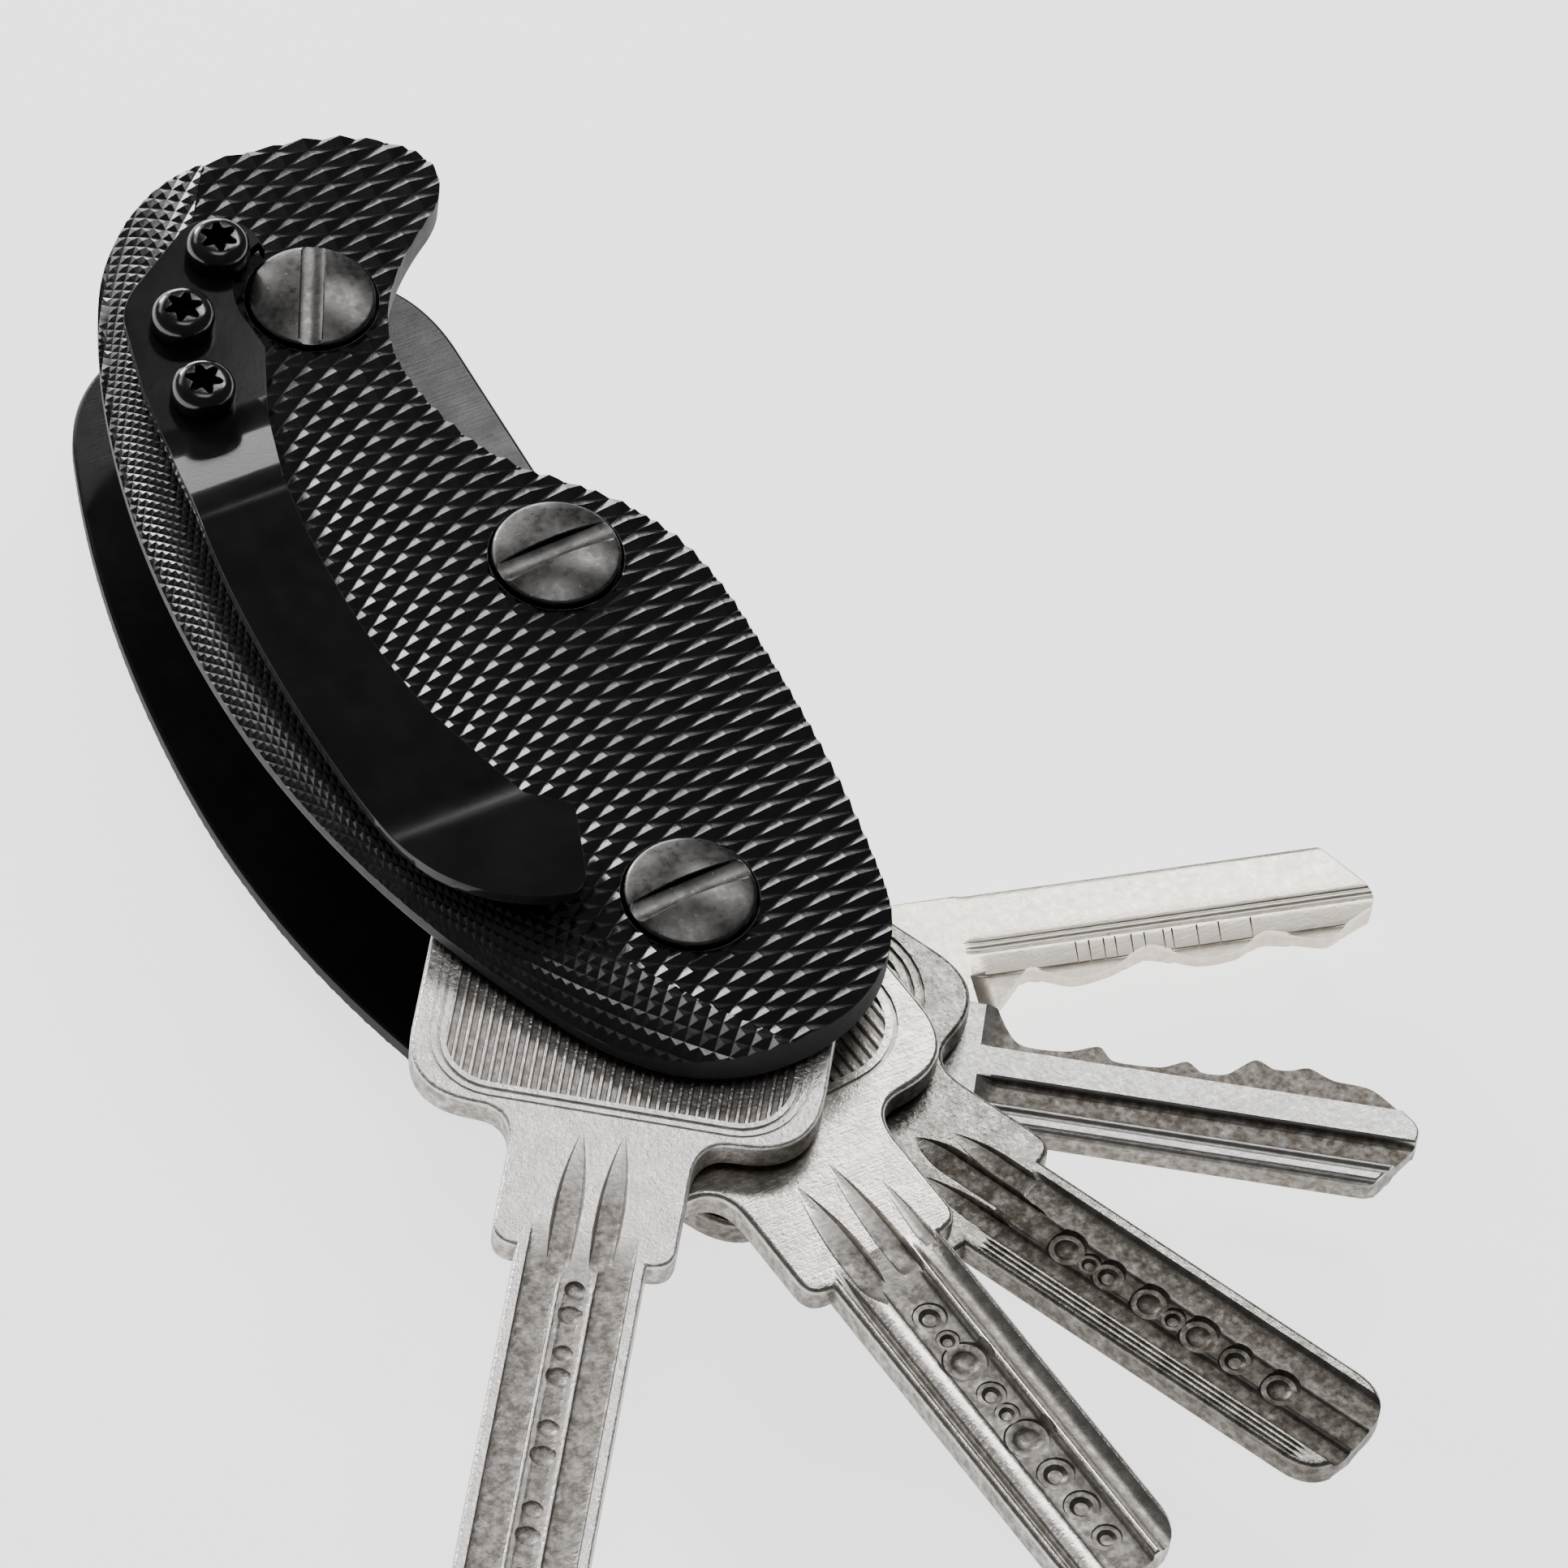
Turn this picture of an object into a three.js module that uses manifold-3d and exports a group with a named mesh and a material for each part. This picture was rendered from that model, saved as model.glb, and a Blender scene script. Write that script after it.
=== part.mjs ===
// Key organiser: two aluminium plates held apart by three screw posts, a spring
// pocket clip on the front plate, and five keys that swing on the lower post.
// Units are millimetres. +Z is up through the front plate, +Y runs along the
// organiser from the lower post to the upper post, and the origin is the middle
// of the lower post's rear face, which is what the organiser lies on.

import * as THREE from 'three';
import * as BufferGeometryUtils from 'three/addons/utils/BufferGeometryUtils.js';
import Module from 'manifold-3d';

const wasm = await Module();
wasm.setup();

// ---- plates ----
const PLATE_THICKNESS = 3;
const PLATE_GAP = 13.4;
const PLATE_EDGE_ROUND = 0.3;
const BEVEL_CENTRE = { x: 52.3, y: 28.8 };
const BEVEL_RADIUS = 72;
const BEVEL_WIDTH = 5.5;
const BEVEL_DROP = 2;
const BEVEL_LEDGE = 6;
const BEVEL_STEPS = 4;
const BEVEL_SIDES = 108;
const OUTLINE_SEGMENTS = 6;

// ---- posts ----
const LOWER_POST = { x: 0, y: 0 };
const MIDDLE_POST = { x: 4.9, y: 28.2 };
const UPPER_POST = { x: 0, y: 54.4 };
const POST_RADIUS = 2.5;
const POST_BORE_RADIUS = 1.55;
const POST_BORE_FLOOR = 5;
const POST_HEAD_RADIUS = 4.3;
const POST_HEAD_HEIGHT = 1.4;
const POST_HEAD_CHAMFER = 0.3;
const POST_TOP_CLEARANCE = 0.5;
const PLATE_HOLE_RADIUS = 2.6;
const SEAT_RADIUS = 5;
const SEAT_DEPTH = 0.5;

// ---- slotted screws ----
const SCREW_RIM_HEIGHT = 0.7;
const SCREW_DOME_HEIGHT = 0.7;
const SCREW_DOME_STEPS = 4;
const SCREW_SHANK_RADIUS = 1.45;
const SCREW_SHANK_LENGTH = 11;
const SLOT_WIDTH = 1.6;
const SLOT_DEPTH = 0.9;
const SLOT_ANGLES = { lower: 2, middle: 2, upper: 62 };

// ---- pocket clip ----
const CLIP_THICKNESS = 0.9;
const CLIP_RAMP_RISE = 2.6;
const CLIP_TOE_GAP = 0.2;
const CLIP_TIP_LIFT = 1.5;
const CLIP_PAD_END_Y = 46;
const CLIP_RAMP_END_Y = 39.2;
const CLIP_TOE_Y = 10.9;
const CLIP_TIP_Y = 1.5;
const CLIP_BEND_RUN = 0.8;
const CLIP_SCREWS = [
  { name: 'clip_screw_top', x: -4.5, y: 59.6 },
  { name: 'clip_screw_middle', x: -9.3, y: 55.1 },
  { name: 'clip_screw_bottom', x: -10.8, y: 49 },
];
const CLIP_HOLE_RADIUS = 1.35;
const CLIP_LOBE_RADIUS = 3.2;
const CLIP_POST_CLEARANCE = 1;

// ---- clip screws ----
const CLIP_SCREW_HEAD_RADIUS = 2.15;
const CLIP_SCREW_HEAD_HEIGHT = 2;
const CLIP_SCREW_SHANK_RADIUS = 1.2;
const CLIP_SCREW_SHANK_LENGTH = 3.5;
const CLIP_THREAD_RADIUS = 1.25;
const LOBE_MEAN_RADIUS = 1.05;
const LOBE_SWING = 0.2;
const LOBE_COUNT = 6;
const LOBE_DEPTH = 1.3;

// ---- keys, washers and spacers ----
const KEY_THICKNESS = 2.2;
const KEY_BORE_RADIUS = 2.56;
const WASHER_THICKNESS = 0.3;
const WASHER_RADIUS = 5;
const WASHER_BORE_RADIUS = 2.6;
const STACK_CLEARANCE = 0.05;
const SPACER_RADIUS = 4;
const GROOVE_DEPTH = 0.5;
const CUT_KEY_STEP_DEPTH = 0.6;

const ROUND_SEGMENTS = 36;
const SMALL_ROUND_SEGMENTS = 20;
const OVERCUT = 1;

// Heights of the plate faces, from the rear face of the post heads upwards.
const REAR_SEAT_Z = POST_HEAD_HEIGHT;
const BACK_OUTER_Z = REAR_SEAT_Z - SEAT_DEPTH;
const BACK_INNER_Z = BACK_OUTER_Z + PLATE_THICKNESS;
const FRONT_INNER_Z = BACK_INNER_Z + PLATE_GAP;
const FRONT_OUTER_Z = FRONT_INNER_Z + PLATE_THICKNESS;
const FRONT_SEAT_Z = FRONT_OUTER_Z - SEAT_DEPTH;
const CLIP_TOP_Z = FRONT_OUTER_Z + CLIP_THICKNESS;

// Dimple keys: a wide rounded bow, a parallel neck and a flat blade. blade_y is
// how far the blade's centre line lies from the pivot, because the post passes
// through one side of the bow's wide eye.
const DIMPLE_BOW_HALF = 13.4;
const DIMPLE_BOW_BACK = -7;
const DIMPLE_BOW_FRONT = 16.6;
const DIMPLE_BOW_CORNER = 5;
const DIMPLE_NECK_HALF = 5.9;
const DIMPLE_NECK_FILLET = 3;
const DIMPLE_NECK_END = 25.4;
const DIMPLE_SHOULDER_RUN = 1.5;
const DIMPLE_BLADE_HALF = 4.2;
const DIMPLE_TIP_ROUND = 2.8;
const DIMPLE_GROOVE_START = 18.5;
const DIMPLE_GROOVE_HALF = 0.7;
const DIMPLE_GROOVE_OFFSET = 1.6;

// Cut keys: a round bow, a stop shoulder on the cut side and a straight blade.
const CUT_BOW_RADIUS = 10.5;
const CUT_BOW_X = 4.5;
const CUT_NECK_HALF = 5.5;
const CUT_SHOULDER_X = 20.8;
const CUT_BLADE_HALF = 4.1;
const CUT_STEP_Y = 2.1;
const CUT_GROOVE_Y = -1.5;
const CUT_GROOVE_HALF = 0.9;

const KEYS = [
  { name: 'key_front_dimple', kind: 'dimple', angle: -126.5, blade_y: -2.6, tip: 54, color: 0xb9b5ad },
  { name: 'key_second_dimple', kind: 'dimple', angle: -83.6, blade_y: -2.6, tip: 54, color: 0xa19d96 },
  { name: 'key_third_dimple', kind: 'dimple', angle: -65, blade_y: -1.1, tip: 55, color: 0x7d776e },
  {
    name: 'key_fourth_cut',
    kind: 'cut',
    angle: -35.6,
    blade_y: -2.3,
    tip: 49.1,
    cut_side: 1,
    cuts: [
      [22.5, 3], [25.6, 3], [27.7, 3.8], [28.8, 2.8], [31.8, 2.9], [33.5, 3.7], [34.6, 3],
      [36.2, 3.2], [37.9, 4.7], [39.2, 4.2], [40.3, 4.3], [41.5, 4.7], [43.2, 4], [45.8, 3.7],
    ],
    color: 0x97938c,
  },
  {
    name: 'key_rear_cut',
    kind: 'cut',
    angle: -14.9,
    blade_y: 2.5,
    tip: 48.3,
    cut_side: -1,
    cuts: [
      [22.6, 3.6], [24.2, 2.3], [26.9, 3.4], [29.7, 3], [32.4, 1.9], [35.5, 3.2], [38.2, 3.1],
      [40.5, 2.1], [44.3, 3.2], [46.2, 2.2],
    ],
    color: 0xb8aa96,
  },
];

const BLACK_ANODISED = { color: 0x17171a, roughness: 0.42, metalness: 0.9 };
const BLACK_STEEL = { color: 0x101012, roughness: 0.28, metalness: 0.85 };
const GUNMETAL = { color: 0x4c4b4a, roughness: 0.35, metalness: 0.95 };
const BRIGHT_STEEL = { color: 0x9c9c9a, roughness: 0.3, metalness: 1 };

// ---- solids ----

function solid(geometry) {
  const plain = geometry.index ? geometry.toNonIndexed() : geometry.clone();
  plain.deleteAttribute('normal');
  plain.deleteAttribute('uv');
  const merged = BufferGeometryUtils.mergeVertices(plain, 1e-5);
  const mesh = new wasm.Mesh({
    numProp: 3,
    vertProperties: new Float32Array(merged.attributes.position.array),
    triVerts: new Uint32Array(merged.index.array),
  });
  return new wasm.Manifold(mesh);
}

function meshOf(name, body, look) {
  const data = body.getMesh();
  const geometry = new THREE.BufferGeometry();
  geometry.setAttribute('position', new THREE.BufferAttribute(new Float32Array(data.vertProperties), 3));
  geometry.setIndex(new THREE.BufferAttribute(new Uint32Array(data.triVerts), 1));
  geometry.computeVertexNormals();
  const mesh = new THREE.Mesh(geometry, new THREE.MeshStandardMaterial(look));
  mesh.name = name;
  return mesh;
}

// A cylinder standing on z = low at (x, y).
function cylinder(radius, low, high, x = 0, y = 0, segments = ROUND_SEGMENTS) {
  const geometry = new THREE.CylinderGeometry(radius, radius, high - low, segments);
  geometry.rotateX(Math.PI / 2);
  geometry.translate(x, y, (low + high) / 2);
  return solid(geometry);
}

function box(x0, x1, y0, y1, z0, z1) {
  const geometry = new THREE.BoxGeometry(x1 - x0, y1 - y0, z1 - z0);
  geometry.translate((x0 + x1) / 2, (y0 + y1) / 2, (z0 + z1) / 2);
  return solid(geometry);
}

// A body turned about Z from a profile of [radius, z] pairs that starts and ends
// on the axis, listed from the bottom up.
function turned(profile, segments = ROUND_SEGMENTS, x = 0, y = 0) {
  const points = profile.map(([r, z]) => new THREE.Vector2(r, z));
  const geometry = new THREE.LatheGeometry(points, segments);
  geometry.rotateX(Math.PI / 2);
  geometry.translate(x, y, 0);
  return solid(geometry);
}

// A flat outline raised from z = low to z = high.
function raised(shape, low, high, segments = OUTLINE_SEGMENTS) {
  const settings = { depth: high - low, bevelEnabled: false, curveSegments: segments };
  const geometry = new THREE.ExtrudeGeometry(shape, settings);
  geometry.translate(0, 0, low);
  return solid(geometry);
}

// The same, with its edges rounded inside the outline.
function raisedRounded(shape, low, high, round, segments = OUTLINE_SEGMENTS) {
  const geometry = new THREE.ExtrudeGeometry(shape, {
    depth: high - low - 2 * round,
    bevelEnabled: true,
    bevelThickness: round,
    bevelSize: round,
    bevelOffset: -round,
    bevelSegments: 2,
    curveSegments: segments,
  });
  geometry.translate(0, 0, low + round);
  return solid(geometry);
}

// ---- plate outlines ----

// Both plates share the lower half of the bulging left side and the rounded end.
function traceSharedSide(shape) {
  shape.bezierCurveTo(-19.7, 17, -16.5, 6, -11.5, -4);
  shape.bezierCurveTo(-9, -9.4, -5, -13, 0.5, -13);
  shape.bezierCurveTo(6.5, -13, 11, -9.7, 12, -4);
  shape.bezierCurveTo(13.3, 3, 13.9, 10, 13.9, 20);
}

// The front plate has a bottle-opener notch below a rounded beak.
function frontOutline() {
  const shape = new THREE.Shape();
  shape.moveTo(-2, 68);
  shape.bezierCurveTo(-7, 68, -10.4, 65.3, -12.7, 60.8);
  shape.bezierCurveTo(-17.2, 52, -19.7, 41, -19.7, 29);
  traceSharedSide(shape);
  shape.bezierCurveTo(13.7, 27, 11.6, 30.4, 7.8, 34.2);
  shape.bezierCurveTo(4.5, 37.2, 2.9, 42, 2.9, 46.5);
  shape.bezierCurveTo(2.9, 51, 6, 54.5, 10, 57.3);
  shape.bezierCurveTo(12.6, 59, 13.8, 61.5, 11.8, 63.9);
  shape.bezierCurveTo(9, 67, 4, 68, -2, 68);
  return shape;
}

// The back plate runs straight past the notch.
function backOutline() {
  const shape = new THREE.Shape();
  shape.moveTo(-2, 68);
  shape.bezierCurveTo(-8, 68, -12, 66, -14.1, 60.8);
  shape.bezierCurveTo(-17.4, 52, -19.6, 41, -19.7, 29);
  traceSharedSide(shape);
  shape.lineTo(13.9, 58);
  shape.bezierCurveTo(13.9, 63.5, 11.5, 68, 5, 68);
  shape.lineTo(-2, 68);
  return shape;
}

// A wide disc whose rim curves down: it gives the left side its sloping shoulder.
function shoulderDisc() {
  const slope = 2 * Math.atan(BEVEL_DROP / BEVEL_WIDTH);
  const arc = BEVEL_WIDTH / Math.sin(slope);
  const reach = BEVEL_RADIUS + BEVEL_LEDGE;
  const profile = [[0, -OVERCUT], [reach, -OVERCUT], [reach, PLATE_THICKNESS - BEVEL_DROP]];
  for (let step = BEVEL_STEPS; step >= 0; step -= 1) {
    const turn = (slope * step) / BEVEL_STEPS;
    const radius = BEVEL_RADIUS - BEVEL_WIDTH + arc * Math.sin(turn);
    profile.push([radius, PLATE_THICKNESS - arc * (1 - Math.cos(turn))]);
  }
  profile.push([0, PLATE_THICKNESS]);
  return turned(profile, BEVEL_SIDES, BEVEL_CENTRE.x, BEVEL_CENTRE.y);
}

// A plate with its inner face on z = 0 and its outer face upwards.
function plateBlank(outline) {
  let plate = raisedRounded(outline, 0, PLATE_THICKNESS, PLATE_EDGE_ROUND);
  plate = plate.intersect(shoulderDisc());
  for (const post of [LOWER_POST, MIDDLE_POST, UPPER_POST]) {
    const high = PLATE_THICKNESS + OVERCUT;
    plate = plate.subtract(cylinder(PLATE_HOLE_RADIUS, -OVERCUT, high, post.x, post.y));
    plate = plate.subtract(cylinder(SEAT_RADIUS, PLATE_THICKNESS - SEAT_DEPTH, high, post.x, post.y));
  }
  return plate;
}

function frontPlate() {
  let plate = plateBlank(frontOutline());
  for (const screw of CLIP_SCREWS) {
    const hole = cylinder(
      CLIP_THREAD_RADIUS, -OVERCUT, PLATE_THICKNESS + OVERCUT, screw.x, screw.y, SMALL_ROUND_SEGMENTS,
    );
    plate = plate.subtract(hole);
  }
  return meshOf('front_plate', plate.translate([0, 0, FRONT_INNER_Z]), BLACK_ANODISED);
}

function backPlate() {
  const plate = plateBlank(backOutline()).mirror([0, 0, 1]);
  return meshOf('back_plate', plate.translate([0, 0, BACK_INNER_Z]), BLACK_ANODISED);
}

// ---- posts and screws ----

// A rear head and a hollow barrel that takes the front screw.
function postBarrel(name, post) {
  const top = FRONT_SEAT_Z - POST_TOP_CLEARANCE;
  const body = turned([
    [0, 0],
    [POST_HEAD_RADIUS - POST_HEAD_CHAMFER, 0],
    [POST_HEAD_RADIUS, POST_HEAD_CHAMFER],
    [POST_HEAD_RADIUS, POST_HEAD_HEIGHT],
    [POST_RADIUS, POST_HEAD_HEIGHT],
    [POST_RADIUS, top],
    [POST_BORE_RADIUS, top],
    [POST_BORE_RADIUS, POST_BORE_FLOOR],
    [0, POST_BORE_FLOOR],
  ], ROUND_SEGMENTS, post.x, post.y);
  return meshOf(name, body, GUNMETAL);
}

// A low domed head with one straight slot, and the shank inside the barrel.
function slottedScrew(name, post, slotAngle) {
  const rim = FRONT_SEAT_Z + SCREW_RIM_HEIGHT;
  const rise = SCREW_DOME_HEIGHT;
  const sphere = (POST_HEAD_RADIUS ** 2 + rise ** 2) / (2 * rise);
  const profile = [
    [0, FRONT_SEAT_Z - SCREW_SHANK_LENGTH],
    [SCREW_SHANK_RADIUS, FRONT_SEAT_Z - SCREW_SHANK_LENGTH],
    [SCREW_SHANK_RADIUS, FRONT_SEAT_Z],
    [POST_HEAD_RADIUS, FRONT_SEAT_Z],
  ];
  for (let step = 0; step < SCREW_DOME_STEPS; step += 1) {
    const radius = POST_HEAD_RADIUS * (1 - step / SCREW_DOME_STEPS);
    profile.push([radius, rim + rise - sphere + Math.sqrt(sphere ** 2 - radius ** 2)]);
  }
  profile.push([0, rim + rise]);
  const half = POST_HEAD_RADIUS + OVERCUT;
  const floor = rim + rise - SLOT_DEPTH;
  const slot = box(-half, half, -SLOT_WIDTH / 2, SLOT_WIDTH / 2, floor, rim + rise + OVERCUT);
  const body = turned(profile).subtract(slot.rotate([0, 0, slotAngle]));
  return meshOf(name, body.translate([post.x, post.y, 0]), GUNMETAL);
}

// ---- pocket clip ----

// Seen from the side: pad, ramp up, long strap down to the toe, lifted tip. The
// strip is drawn along its top face and then back along its underside.
function clipSideShape() {
  const corners = [
    [UPPER_POST.y + 2 * POST_HEAD_RADIUS + OVERCUT, CLIP_TOP_Z],
    [CLIP_PAD_END_Y, CLIP_TOP_Z],
    [CLIP_RAMP_END_Y, CLIP_TOP_Z + CLIP_RAMP_RISE],
    [CLIP_TOE_Y, CLIP_TOP_Z + CLIP_TOE_GAP],
    [CLIP_TIP_Y - OVERCUT, CLIP_TOP_Z + CLIP_TOE_GAP + CLIP_TIP_LIFT],
  ].map(([y, z]) => new THREE.Vector2(y, z));
  const face = [corners[0]];
  for (let i = 1; i < corners.length - 1; i += 1) {
    const before = corners[i - 1].clone().sub(corners[i]).setLength(CLIP_BEND_RUN).add(corners[i]);
    const after = corners[i + 1].clone().sub(corners[i]).setLength(CLIP_BEND_RUN).add(corners[i]);
    face.push(...new THREE.QuadraticBezierCurve(before, corners[i], after).getPoints(4));
  }
  face.push(corners[corners.length - 1]);
  const under = face.map((point) => new THREE.Vector2(point.x, point.y - CLIP_THICKNESS)).reverse();
  return new THREE.Shape([...face, ...under]);
}

// Seen from above: a lobe round the top screw, a hollow that clears the upper
// post's head, and a strap that follows the plate's left side to a snub tip.
function clipPlanShape() {
  const top = CLIP_SCREWS[0];
  const hollow = POST_HEAD_RADIUS + CLIP_POST_CLEARANCE;
  const shape = new THREE.Shape();
  shape.moveTo(-10.4, 59.6);
  shape.absarc(top.x, top.y, CLIP_LOBE_RADIUS, Math.PI * 0.63, -Math.PI * 0.09, true);
  shape.absarc(UPPER_POST.x, UPPER_POST.y, hollow, Math.PI * 0.59, Math.PI * 1.03, false);
  shape.lineTo(-5.1, 51.2);
  shape.lineTo(-7.5, CLIP_PAD_END_Y);
  shape.lineTo(-9.9, CLIP_RAMP_END_Y);
  shape.bezierCurveTo(-10.9, 33, -10.8, 24, -9, 18);
  shape.lineTo(-6.5, CLIP_TOE_Y);
  shape.lineTo(-4, 8.4);
  shape.lineTo(-6.1, 3.2);
  shape.quadraticCurveTo(-6.8, CLIP_TIP_Y, -7.9, CLIP_TIP_Y);
  shape.bezierCurveTo(-10.5, 2, -13.2, 4, -14.8, 7.4);
  shape.bezierCurveTo(-16.3, 11, -17.2, 18, -17.2, 27);
  shape.bezierCurveTo(-17.2, 36, -16, 41, -14.8, CLIP_PAD_END_Y);
  shape.lineTo(-14.1, 51.2);
  shape.lineTo(-12.9, 56.2);
  shape.quadraticCurveTo(-12.6, 58.3, -10.4, 59.6);
  return shape;
}

function pocketClip() {
  const width = 30;
  const strip = new THREE.ExtrudeGeometry(clipSideShape(), { depth: width, bevelEnabled: false });
  strip.applyMatrix4(new THREE.Matrix4().makeBasis(
    new THREE.Vector3(0, 1, 0),
    new THREE.Vector3(0, 0, 1),
    new THREE.Vector3(1, 0, 0),
  ));
  strip.translate(-width, 0, 0);
  const high = CLIP_TOP_Z + CLIP_RAMP_RISE + OVERCUT;
  let clip = solid(strip).intersect(raised(clipPlanShape(), FRONT_OUTER_Z - OVERCUT, high));
  for (const screw of CLIP_SCREWS) {
    const hole = cylinder(
      CLIP_HOLE_RADIUS, FRONT_OUTER_Z - OVERCUT, high, screw.x, screw.y, SMALL_ROUND_SEGMENTS,
    );
    clip = clip.subtract(hole);
  }
  return meshOf('pocket_clip', clip, BLACK_STEEL);
}

// A tall button head with a six-lobe socket.
function clipScrew({ name, x, y }) {
  const low = CLIP_TOP_Z;
  const high = low + CLIP_SCREW_HEAD_HEIGHT;
  const head = CLIP_SCREW_HEAD_RADIUS;
  const body = turned([
    [0, low - CLIP_SCREW_SHANK_LENGTH],
    [CLIP_SCREW_SHANK_RADIUS, low - CLIP_SCREW_SHANK_LENGTH],
    [CLIP_SCREW_SHANK_RADIUS, low],
    [head, low],
    [head, low + 0.5 * CLIP_SCREW_HEAD_HEIGHT],
    [0.93 * head, low + 0.78 * CLIP_SCREW_HEAD_HEIGHT],
    [0.74 * head, high],
    [0, high],
  ], SMALL_ROUND_SEGMENTS, x, y);
  const lobes = new THREE.Shape();
  const points = 8 * LOBE_COUNT;
  for (let i = 0; i < points; i += 1) {
    const turn = (2 * Math.PI * i) / points;
    const radius = LOBE_MEAN_RADIUS + LOBE_SWING * Math.cos(LOBE_COUNT * turn);
    const place = i === 0 ? 'moveTo' : 'lineTo';
    lobes[place](x + radius * Math.cos(turn), y + radius * Math.sin(turn));
  }
  const socket = raised(lobes, high - LOBE_DEPTH, high + OVERCUT);
  return meshOf(name, body.subtract(socket), BLACK_STEEL);
}

// ---- keys ----

// The upper half of a dimple key's outline is mirrored about the blade's centre
// line, x running from the pivot towards the tip.
function dimpleOutline(key) {
  const cy = key.blade_y;
  const front = DIMPLE_BOW_FRONT;
  const corner = DIMPLE_BOW_CORNER;
  const bow = DIMPLE_BOW_HALF;
  const neck = DIMPLE_NECK_HALF;
  const shoulder = DIMPLE_NECK_END + DIMPLE_SHOULDER_RUN;
  const blade = DIMPLE_BLADE_HALF;
  const round = DIMPLE_TIP_ROUND;
  const shape = new THREE.Shape();
  shape.moveTo(DIMPLE_BOW_BACK + corner, cy - bow);
  shape.lineTo(front - corner, cy - bow);
  shape.quadraticCurveTo(front, cy - bow, front, cy - bow + corner);
  shape.quadraticCurveTo(front, cy - neck, front + DIMPLE_NECK_FILLET, cy - neck);
  shape.lineTo(DIMPLE_NECK_END, cy - neck);
  shape.quadraticCurveTo(shoulder, cy - neck, shoulder, cy - blade);
  shape.lineTo(key.tip - round, cy - blade);
  shape.quadraticCurveTo(key.tip, cy - blade, key.tip, cy - blade + round);
  shape.lineTo(key.tip, cy + blade - round);
  shape.quadraticCurveTo(key.tip, cy + blade, key.tip - round, cy + blade);
  shape.lineTo(shoulder, cy + blade);
  shape.quadraticCurveTo(shoulder, cy + neck, DIMPLE_NECK_END, cy + neck);
  shape.lineTo(front + DIMPLE_NECK_FILLET, cy + neck);
  shape.quadraticCurveTo(front, cy + neck, front, cy + bow - corner);
  shape.quadraticCurveTo(front, cy + bow, front - corner, cy + bow);
  shape.lineTo(DIMPLE_BOW_BACK + corner, cy + bow);
  shape.quadraticCurveTo(DIMPLE_BOW_BACK, cy + bow, DIMPLE_BOW_BACK, cy + bow - corner);
  shape.lineTo(DIMPLE_BOW_BACK, cy - bow + corner);
  shape.quadraticCurveTo(DIMPLE_BOW_BACK, cy - bow, DIMPLE_BOW_BACK + corner, cy - bow);
  return shape;
}

// Two long grooves on each face, with the row of dimples' land between them.
function dimpleGrooves(key) {
  const grooves = [];
  for (const side of [-1, 1]) {
    const y = key.blade_y + side * DIMPLE_GROOVE_OFFSET;
    const y0 = y - DIMPLE_GROOVE_HALF;
    const y1 = y + DIMPLE_GROOVE_HALF;
    const end = key.tip + OVERCUT;
    grooves.push(box(DIMPLE_GROOVE_START, end, y0, y1, KEY_THICKNESS - GROOVE_DEPTH, KEY_THICKNESS + OVERCUT));
    grooves.push(box(DIMPLE_GROOVE_START, end, y0, y1, -OVERCUT, GROOVE_DEPTH));
  }
  return grooves;
}

// Each cut is [distance from the pivot, height above the blade's centre line].
function traceCuts(shape, key) {
  for (const [x, height] of key.cuts) {
    shape.lineTo(x, key.blade_y + key.cut_side * height);
  }
}

function cutOutline(key) {
  const cy = key.blade_y;
  const side = key.cut_side;
  const neckTurn = Math.asin(CUT_NECK_HALF / CUT_BOW_RADIUS);
  const backTurn = Math.asin(CUT_BLADE_HALF / CUT_BOW_RADIUS);
  const shape = new THREE.Shape();
  shape.moveTo(CUT_SHOULDER_X, cy + side * CUT_NECK_HALF);
  traceCuts(shape, key);
  shape.lineTo(key.tip, cy + side * 0.8);
  shape.lineTo(key.tip, cy - side * 0.4);
  shape.lineTo(key.tip - 2.6, cy - side * CUT_BLADE_HALF);
  shape.absarc(CUT_BOW_X, cy, CUT_BOW_RADIUS, -side * backTurn, side * neckTurn, side > 0);
  shape.lineTo(CUT_SHOULDER_X, cy + side * CUT_NECK_HALF);
  return shape;
}

// A thinner strip along the cut edge and one groove along the uncut side.
function cutReliefs(key) {
  const side = key.cut_side;
  const cy = key.blade_y;
  const start = CUT_SHOULDER_X + 0.3;
  const end = key.tip + OVERCUT;
  const step = [cy + side * CUT_STEP_Y, cy + side * (CUT_BLADE_HALF + OVERCUT)].sort((a, b) => a - b);
  const groove = [cy + side * (CUT_GROOVE_Y - CUT_GROOVE_HALF), cy + side * (CUT_GROOVE_Y + CUT_GROOVE_HALF)];
  groove.sort((a, b) => a - b);
  return [
    box(start, end, step[0], step[1], KEY_THICKNESS - CUT_KEY_STEP_DEPTH, KEY_THICKNESS + OVERCUT),
    box(start, end, groove[0], groove[1], KEY_THICKNESS - GROOVE_DEPTH, KEY_THICKNESS + OVERCUT),
  ];
}

function keyMesh(key, level) {
  const dimple = key.kind === 'dimple';
  const outline = dimple ? dimpleOutline(key) : cutOutline(key);
  let body = raisedRounded(outline, 0, KEY_THICKNESS, 0.2, dimple ? 5 : 20);
  body = body.subtract(cylinder(KEY_BORE_RADIUS, -OVERCUT, KEY_THICKNESS + OVERCUT));
  for (const cutter of dimple ? dimpleGrooves(key) : cutReliefs(key)) {
    body = body.subtract(cutter);
  }
  body = body.rotate([0, 0, key.angle]).translate([LOWER_POST.x, LOWER_POST.y, level]);
  return meshOf(key.name, body, { color: key.color, roughness: 0.38, metalness: 1 });
}

// ---- washers and spacers ----

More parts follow.
